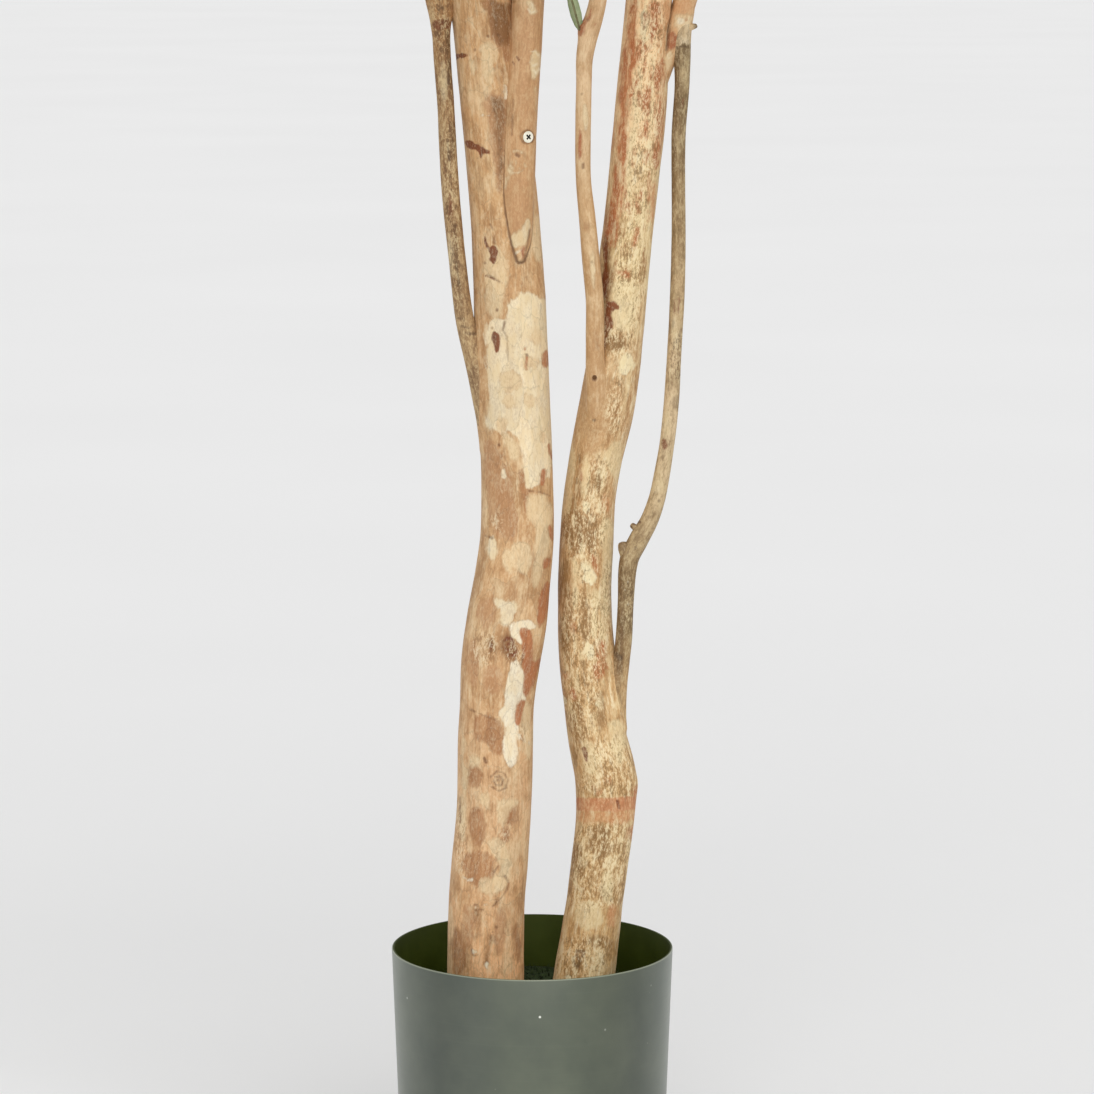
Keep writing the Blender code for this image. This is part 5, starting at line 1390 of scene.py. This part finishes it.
def blade_finish(name, edge, middle, rib, roughness):
    """A leaf's face. The blade attribute holds the place across and along it, and its tint."""
    made, shader, node = new_finish(name, Roughness=roughness, IOR=NATURAL_IOR)
    blade = node("SeparateXYZ", node("Attribute", attribute_name="blade").outputs["Vector"])
    across = node("Math", blade.outputs["X"], operation="ABSOLUTE")
    colour = node("Mix", across, linear(middle), linear(edge), data_type="RGBA")
    cloudy = node("TexNoise", node("TexCoord").outputs["Object"], *LEAF_CLOUDS)
    shade = node("MapRange", cloudy, *CLOUD_SPAN, *CLOUD_SHADES)
    tint = node("MapRange", blade.outputs["Z"], 0, 1, *TINT_SHADES)
    shade = node("Math", shade, tint, operation="MULTIPLY")
    # Side veins run from the rib towards the tip at a slant
    slant = node("Math", across, VEIN_SLANT, operation="MULTIPLY")
    slant = node("Math", blade.outputs["Y"], slant, operation="SUBTRACT")
    veins = node("Math", node("Math", slant, VEIN_COUNT, operation="MULTIPLY"), operation="FRACT")
    veins = node("MapRange", veins, VEIN_WIDTH, 0, 0, VEIN_STRENGTH)
    stripe = node("MapRange", across, *RIB_SPAN)
    for line in (veins, stripe):
        colour = node("Mix", line, colour, linear(rib), data_type="RGBA")
    raised = node("Math", stripe, veins, operation="ADD")
    shaded = node("VectorMath", colour, shade, operation="SCALE")
    feed(shader, Base_Color=shaded, Normal=node("Bump", *LEAF_BUMP, None, raised))
    return made


def blade_mesh():
    """One leaf lying along +Y with its upper face up, in metres at full size."""
    bm = bmesh.new()
    bmesh.ops.create_grid(bm, x_segments=2, y_segments=len(BLADE_ROWS) - 1, size=1.0)
    blade = bm.verts.layers.float_vector.new("blade")
    for vert in bm.verts:
        share, width = BLADE_ROWS[round((vert.co.y + 1) / 2 * (len(BLADE_ROWS) - 1))]
        vert[blade] = (vert.co.x, share, 0.0)
        half = width * LEAF_WIDTH / 2
        vert.co = (half * vert.co.x, share * LEAF_LENGTH, BLADE_FOLD * half * abs(vert.co.x))
    bmesh.ops.solidify(bm, geom=bm.faces, thickness=BLADE_THICKNESS)
    bmesh.ops.recalc_face_normals(bm, faces=bm.faces)
    for face in bm.faces:
        face.material_index = 2 if face.normal.z < UNDERSIDE else 1
    return finished_mesh(bm, "blade")


def set_leaf(bm, blade, leaf, rng, over):
    """Adds a leaf, arched backwards, with its own twist and tint. One that is turned over shows its underside, with the
    lightest tint as painted light.
    """
    added = add_mesh(bm, blade)
    if over:
        for face in {face for vert in added for face in vert.link_faces}:
            face.material_index = 3 - face.material_index
    layer = bm.verts.layers.float_vector["blade"]
    side = leaf.run.cross(leaf.facing).normalized()
    twist = rng.uniform(-LEAF_TWIST, LEAF_TWIST)
    sway = rng.uniform(-LEAF_SWAY, LEAF_SWAY)
    droop = LEAF_ARCH * rng.uniform(*LEAF_DROOP)
    # The turned-over leaf takes the lightest tint: painted light that makes up for the crown's shadow on it
    tint = 1.0 if over else rng.random()
    for vert in added:
        across, share, _ = vert[layer]
        turn = twist * share
        level = math.cos(turn) * side + math.sin(turn) * leaf.facing
        up = math.cos(turn) * leaf.facing - math.sin(turn) * side
        x, y, z = vert.co
        bent = LEAF_LENGTH * share**2 * (sway * side - droop * leaf.facing)
        vert.co = leaf.place + leaf.size * (x * level + y * leaf.run + z * up + bent)
        vert[layer] = (across, share, tint)


def build_spray(spray, blade, finishes):
    """Stem, twigs and leaves of one spray. The first leaf of the lowest one shows its underside."""
    rng = random.Random(LEAF_SEED + spray.number)
    bm = bmesh.new()
    bm.verts.layers.float_vector.new("blade")
    tubes = []
    for k, shoot in enumerate(spray.shoots):
        rings = TWIG_RINGS if k else STEM_RINGS
        line = arch(shoot.line[0], shoot.guide, shoot.line[-1], rings)
        if k:
            radii = [TWIG_RADIUS * (1 - TWIG_THINNING * share / rings) for share in range(rings + 1)]
        else:
            line = [spray.root, *line]
            slim = (STEM_TIP_RADIUS - STEM_RADIUS) / rings
            radii = [STEM_RADIUS] + [STEM_RADIUS + slim * share for share in range(rings + 1)]
            if spray.number == 1:
                radii[: len(FORK_STEM_RADII)] = FORK_STEM_RADII
        tubes.append(tube_mesh(line_places(line, radii), TWIG_RING_SIDES if k else STEM_RING_SIDES))
    join(bm, tubes)
    over = spray.shoots[0].leaves[0] if spray.number == 1 else None
    for shoot in spray.shoots:
        for leaf in shoot.leaves:
            set_leaf(bm, blade, leaf, rng, leaf is over)
    piece("olive_" + spray.name, finished_mesh(bm, spray.name), finishes, spray.name)


def build_sprays():
    taken = Taken()
    for name, stations in BOUGHS.items():
        low, high = stations[0][0], stations[-1][0]
        steps = math.ceil((high - low) / BOUGH_BALL_STEP)
        for k in range(steps + 1):
            centre, radius = bough_at(stations, low + (high - low) * k / steps)
            taken.add([centre], radius, name)
    sprays = plan_sprays(taken)
    for spray in sprays:
        grow_twigs(spray, taken, random.Random(spray.number), False)
    sprays[0].shoots[0].leaves.append(fork_leaf(sprays[0]))
    for spray in sprays:
        add_leaves(spray, taken, False)
    for spray in sprays[1:]:
        grow_twigs(spray, taken, random.Random(MORE_TWIG_SEED + spray.number), True)
    for spray in sprays:
        add_leaves(spray, taken, True)
    # Printed polyester leaves: matt grey-green above with a pale rib, silvery below
    upper = blade_finish("leaf_upper_face", "#66795A", "#76886A", "#A9B08A", 0.5)
    under = blade_finish("leaf_underside", "#7F8A64", "#99A17C", "#4C5418", 0.65)
    finishes = [twig_finish(), upper, under]
    blade = blade_mesh()
    for spray in sprays:
        build_spray(spray, blade, finishes)
    bpy.data.meshes.remove(blade)


def spin_solid(profile, sides):
    """A solid of revolution from (radius, height) points that start and end on the axis."""
    bm = bmesh.new()
    verts = [bm.verts.new((radius, 0, height)) for radius, height in profile]
    edges = [bm.edges.new(pair) for pair in zip(verts, verts[1:])]
    bmesh.ops.spin(
        bm, geom=verts + edges, cent=(0, 0, 0), axis=(0, 0, 1), angle=2 * math.pi, steps=sides, use_merge=True
    )
    bmesh.ops.remove_doubles(bm, verts=bm.verts, dist=MERGE_GAP)
    bmesh.ops.recalc_face_normals(bm, faces=bm.faces)
    return bm


def pot_inside(height):
    """Inner radius of the pot at a height."""
    return POT_BASE_RADIUS + (POT_RIM_RADIUS - POT_BASE_RADIUS) * height / POT_HEIGHT - POT_WALL


def build_pot(outside, inside):
    """A thin moulded shell whose lip is rounded. Its inside has a darker finish: painted shade of the pot's interior.
    """
    rim, lip = POT_RIM_RADIUS, POT_RIM_RADIUS - POT_WALL
    profile = [
        (0.0, 0.0), (POT_BASE_RADIUS - 4 * POT_EDGE, 0.0), (POT_BASE_RADIUS - 1.5 * POT_EDGE, 0.5 * POT_EDGE),
        (POT_BASE_RADIUS, 2 * POT_EDGE), (rim, POT_HEIGHT - POT_EDGE),
        (rim - 0.3 * POT_EDGE, POT_HEIGHT - 0.3 * POT_EDGE), (rim - POT_EDGE, POT_HEIGHT),
        (lip + POT_EDGE, POT_HEIGHT), (lip + 0.3 * POT_EDGE, POT_HEIGHT - 0.3 * POT_EDGE),
        (lip, POT_HEIGHT - POT_EDGE), (pot_inside(MOSS_TOP), MOSS_TOP), (pot_inside(POT_FLOOR), POT_FLOOR),
        (0.0, POT_FLOOR),
    ]
    bm = spin_solid(profile, POT_RING_SIDES)
    for face in bm.faces:
        place = face.calc_center_median()
        inner = place.xy.length < rim - 0.35 * POT_WALL and place.z > POT_HEIGHT - 2 * POT_EDGE
        face.material_index = 1 if inner or face.normal.xy.dot(place.xy) < -1e-6 else 0
    mesh = finished_mesh(bm, "pot")
    piece("grower_pot", mesh, [outside, inside], "pot")
    mesh.set_sharp_from_angle(angle=SMOOTH_ANGLE)


def moss_height(x, y):
    wave = math.sin(MOSS_WAVES[0] * x + MOSS_WAVE_START) * math.sin(MOSS_WAVES[1] * y)
    wave += math.sin(MOSS_WAVES[2] * (x + y))
    return MOSS_TOP + 0.5 * MOSS_BUMP * wave


def build_moss(finish):
    """A low cover with tufts on it, around the trunks."""
    low = MOSS_TOP - MOSS_THICKNESS + FIT_GAP
    outer = pot_inside(low) - 2 * FIT_GAP
    profile = [(0.0, low), (outer, low)] + [(outer * k / MOSS_RINGS, MOSS_TOP) for k in range(MOSS_RINGS, -1, -1)]
    bm = spin_solid(profile, MOSS_SIDES)
    for vert in bm.verts:
        x, y, z = vert.co
        if z > low + FIT_GAP:
            fine = noise.noise(Vector((x * MOSS_FINE_WAVES, y * MOSS_FINE_WAVES, 0))) * MOSS_FINE_BUMP
            vert.co.z = moss_height(x, y) + fine
    cover = finished_mesh(bm, "cover")
    bm = bmesh.new()
    bmesh.ops.create_cone(bm, segments=4, radius1=1.0, radius2=0.15, depth=1.0, cap_ends=True)
    bmesh.ops.translate(bm, verts=bm.verts, vec=(0, 0, 0.5))
    tuft = finished_mesh(bm, "tuft")
    bm = bmesh.new()
    rng = random.Random(MOSS_SEED)
    for _ in range(MOSS_STRANDS):
        reach = (outer - MOSS_BARE_EDGE) * math.sqrt(rng.random())
        turn = rng.uniform(0, 2 * math.pi)
        x, y = reach * math.cos(turn), reach * math.sin(turn)
        length = rng.uniform(*MOSS_STRAND_LENGTH)
        lean = Matrix.Rotation(rng.uniform(0, 2 * math.pi), 4, "Z")
        lean = lean @ Matrix.Rotation(rng.uniform(*MOSS_STRAND_LEAN), 4, "X")
        size = Matrix.Diagonal((MOSS_STRAND_RADIUS, MOSS_STRAND_RADIUS, length, 1.0))
        place = Matrix.Translation((x, y, moss_height(x, y) - MOSS_STRAND_FOOT)) @ lean @ size
        for vert in add_mesh(bm, tuft):
            vert.co = place @ vert.co
    join(bm, [cover])
    bpy.data.meshes.remove(tuft)
    piece("moss_cover", finished_mesh(bm, "moss"), [finish], "moss")


def cut_recess(made):
    """Cuts the cross recess, whose arms narrow downwards, into the screw's head."""
    bm = bmesh.new()
    for turn in (RECESS_TURN, RECESS_TURN + 90):
        arm = bmesh.ops.create_cube(bm, size=1)["verts"]
        span = (RECESS_SPAN * SCREW_HEAD_RADIUS, RECESS_WIDTH * SCREW_HEAD_RADIUS, 2 * SCREW_RECESS)
        bmesh.ops.scale(bm, verts=arm, vec=span)
        for vert in arm:
            if vert.co.z < 0:
                vert.co.x *= RECESS_FOOT[0]
                vert.co.y *= RECESS_FOOT[1]
        bmesh.ops.rotate(bm, verts=arm, matrix=Matrix.Rotation(math.radians(turn), 3, "Z"))
    # The recess's faces take the screw's second finish, painted shade
    for face in bm.faces:
        face.material_index = 1
    cutter = bpy.data.objects.new("recess", finished_mesh(bm, "recess"))
    bpy.context.scene.collection.objects.link(cutter)
    cut = made.modifiers.new("recess", "BOOLEAN")
    cut.object = cutter
    cut.operation = "DIFFERENCE"
    cut.use_self = True
    bpy.context.view_layer.update()
    made.data = bpy.data.meshes.new_from_object(made.evaluated_get(bpy.context.evaluated_depsgraph_get()))
    made.modifiers.clear()
    bpy.data.objects.remove(cutter)


def build_fixing(name, stations, height, turn, head, depth, shank, length, rim, finishes):
    """A countersunk fixing in a bough's face, turned from the front about the bough."""
    profile = [(0.0, -length), (shank, -length + shank), (shank, -depth), (head, -HEAD_EDGE_SHARE * depth)]
    profile += [(head, -rim * depth)] if rim else []
    profile += [(HEAD_CROWN_SHARE * head, 0.0)] + [(share * head, crown) for share, crown in HEAD_CROWN]
    mesh = finished_mesh(spin_solid(profile, FIXING_RING_SIDES), name)
    made = piece(name + "_finished", mesh, finishes, name)
    if name == "screw":
        cut_recess(made)
    centre, radius = bough_at(stations, height)
    out = Vector((math.sin(math.radians(turn)), -math.cos(math.radians(turn)), 0.0))
    place = Matrix.Translation(centre + FIXING_SEAT * radius * out) @ out.to_track_quat("Z", "Y").to_matrix().to_4x4()
    made.data.transform(place @ Matrix.Translation((0, 0, FIXING_PROUD)))
    made.data.set_sharp_from_angle(angle=SMOOTH_ANGLE)


def plastic(name, colours, roughness, lip):
    """Moulded polypropylene: a soft sheen with faint flow clouds and fine scuffs; on the outside, painted studio
    reflections, painted glints and a paler lip, partly wear and partly a painted highlight.
    """
    made, shader, node = new_finish(name, Roughness=roughness, IOR=PLASTIC_IOR)
    mix = {"data_type": "RGBA"}
    place = node("TexCoord").outputs["Object"]
    split = node("SeparateXYZ", place).outputs
    clouds = node("TexNoise", place, *POT_CLOUDS)
    colour = node("ValToRGB", clouds, stops=", ".join(f"{stop} {code}" for stop, code in zip(POT_CLOUD_STOPS, colours)))
    # Rubbed rings round the pot, a few millimetres apart, and dust
    rings = node("TexNoise", node("Mapping", place, None, None, RUB_STRETCH), *RUB_NOISE)
    rubbed = node("MapRange", rings, *RUB_SPAN, 0, RUB_STRENGTH)
    dust = node("MapRange", node("TexVoronoi", place, DUST_SCALE), *DUST_SPAN, 0, DUST_STRENGTH)
    for wear in (rubbed, dust):
        colour = node("Mix", wear, colour, linear(colours[2]), **mix)
    if lip:
        # Broad upright bands of painted studio reflection, lighter at the left and right sides, and a lip rubbed a
        # little paler that also carries a painted highlight
        side = node("MapRange", split["X"], -POT_RIM_RADIUS, POT_RIM_RADIUS)
        bands = node("ValToRGB", side, stops=POT_REFLECTION_BANDS)
        colour = node("Mix", 1.0, colour, bands, blend_type="MULTIPLY", **mix)
        # Pale specks painted as glints where small dents catch the light
        for spot, strength in POT_GLINT_SPECKS:
            gap = node("VectorMath", place, spot, operation="DISTANCE")
            glint = node("MapRange", gap, *GLINT_SPAN, 0, strength)
            colour = node("Mix", glint, colour, linear(GLINT_TONE), **mix)
        # The lip's paler band is partly wear and partly a painted highlight along the rim's edge
        worn = node("MapRange", split["Z"], *(POT_HEIGHT - gap for gap in LIP_SPAN))
        colour = node("Mix", node("Math", worn, LIP_STRENGTH, operation="MULTIPLY"), colour, linear(lip), **mix)
    grain = node("TexNoise", place, *POT_GRAIN)
    sheen = node("MapRange", rings, *SHEEN_SPAN, *(roughness + stray for stray in SHEEN_STRAY))
    feed(shader, Base_Color=colour, Roughness=sheen, Normal=node("Bump", *POT_BUMP, None, grain))
    return made, shader


def granular(name, stops, scale, roughness, bump_height, metallic=0.0):
    """A finish with grains in several tones: moss, cast concrete, zinc plate and rusty steel."""
    made, shader, node = new_finish(name, Roughness=roughness, Metallic=metallic)
    grains = node("TexNoise", node("TexCoord").outputs["Object"], scale, *GRAINS)
    colour = node("ValToRGB", grains, stops=stops)
    rough = node("MapRange", grains, 0, 1, roughness - GRAIN_STRAY, roughness + GRAIN_STRAY)
    feed(shader, Base_Color=colour, Roughness=rough, Normal=node("Bump", GRAIN_BUMP, bump_height, None, grains))
    return made


def build_stage():
    """A large pale floor, a soft key light from the front, and light from all round."""
    scene = bpy.context.scene
    bm = bmesh.new()
    bmesh.ops.create_grid(bm, x_segments=8, y_segments=8, size=FLOOR_HALF)
    mesh = finished_mesh(bm, "floor")
    made, shader, node = new_finish("matt_paper_floor", Roughness=0.95, IOR=1.3, Specular_IOR_Level=0.0)
    soft = node("TexNoise", node("TexCoord").outputs["Object"], *FLOOR_CLOUDS)
    feed(shader, Base_Color=node("ValToRGB", soft, stops=FLOOR_TONES))
    mesh.materials.append(made)
    floor = bpy.data.objects.new("studio_floor", mesh)
    scene.collection.objects.link(floor)

    world = bpy.data.worlds.new("studio")
    scene.world = world
    world.use_nodes = True
    background = world.node_tree.nodes["Background"]
    background.inputs["Color"].default_value = linear(WORLD_COLOUR)
    background.inputs["Strength"].default_value = WORLD_STRENGTH
    for name, strength, angle, turn in LIGHTS:
        light = bpy.data.lights.new(name, "SUN")
        light.energy = strength
        light.angle = math.radians(angle)
        lamp = bpy.data.objects.new(name, light)
        lamp.rotation_euler = [math.radians(part) for part in turn]
        scene.collection.objects.link(lamp)

    lens = bpy.data.cameras.new("view")
    lens.lens = LENS
    lens.sensor_width = SENSOR
    lens.clip_end = VIEW_REACH
    camera = bpy.data.objects.new("view", lens)
    camera.location = CAMERA_PLACE
    camera.rotation_euler = (math.radians(90) - CAMERA_DIP, 0, 0)
    scene.collection.objects.link(camera)
    scene.camera = camera
    scene.view_settings.view_transform = "Standard"


build_stage()
for bough, look in BARKS.items():
    build_bough(bough, bark(*look))
# Zinc-plated steel: pale and bright, clouded where the plating is thin
zinc = granular("zinc_plated_steel", "0.3 #ECE6D2, 0.7 #FFFCEC", 600, 0.30, 0.0001, 0.15)
# Near-black painted shade for the faces of the screw's cross recess
recess_shade = granular("grimy_recess", "0.3 #0E0C08, 0.7 #1C1912", 600, 0.8, 0.0001)
build_fixing(
    "screw", BOUGHS["limb_left"], SCREW_HEIGHT, SCREW_TURN, SCREW_HEAD_RADIUS, SCREW_HEAD_DEPTH, SCREW_SHANK_RADIUS,
    SCREW_LENGTH, SCREW_RIM_SHARE, [zinc, recess_shade],
)
# A wire nail gone brown: dark, dull rust with orange grains
rust = granular("rusty_steel", "0.3 #4E2C0C, 0.7 #704A1E", 900, 0.75, 0.0002, 0.1)
build_fixing(
    "nail", BOUGHS["branch_middle"], NAIL_HEIGHT, NAIL_TURN, NAIL_HEAD_RADIUS, NAIL_HEAD_DEPTH, NAIL_SHANK_RADIUS,
    NAIL_LENGTH, 0.0, [rust],
)
outside, _ = plastic("moulded_polypropylene", ("#656D63", "#747B6E", "#A4AA9C"), 0.30, "#A4AA94")
# The pot's inside: a darker copy of the same plastic, painted shade of the pot's interior, with less specular
inside, shader = plastic("damp_polypropylene", ("#303A08", "#3E4914", "#4A5524"), 0.5, "")
feed(shader, Specular_IOR_Level=INNER_WALL_SPECULAR)
build_pot(outside, inside)
# Preserved moss: deep green tufts, dull
build_moss(granular("preserved_moss", "0.3 #18240A, 0.55 #2E3F14, 0.8 #4E6428", 420, 0.95, 0.002))
# Cast concrete: pale grey with sand grains and pores
concrete = granular("cast_concrete", "0.3 #7C7972, 0.7 #A5A198", 180, 0.9, 0.0008)
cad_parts["ballast"].material_slots[0].material = concrete
build_sprays()
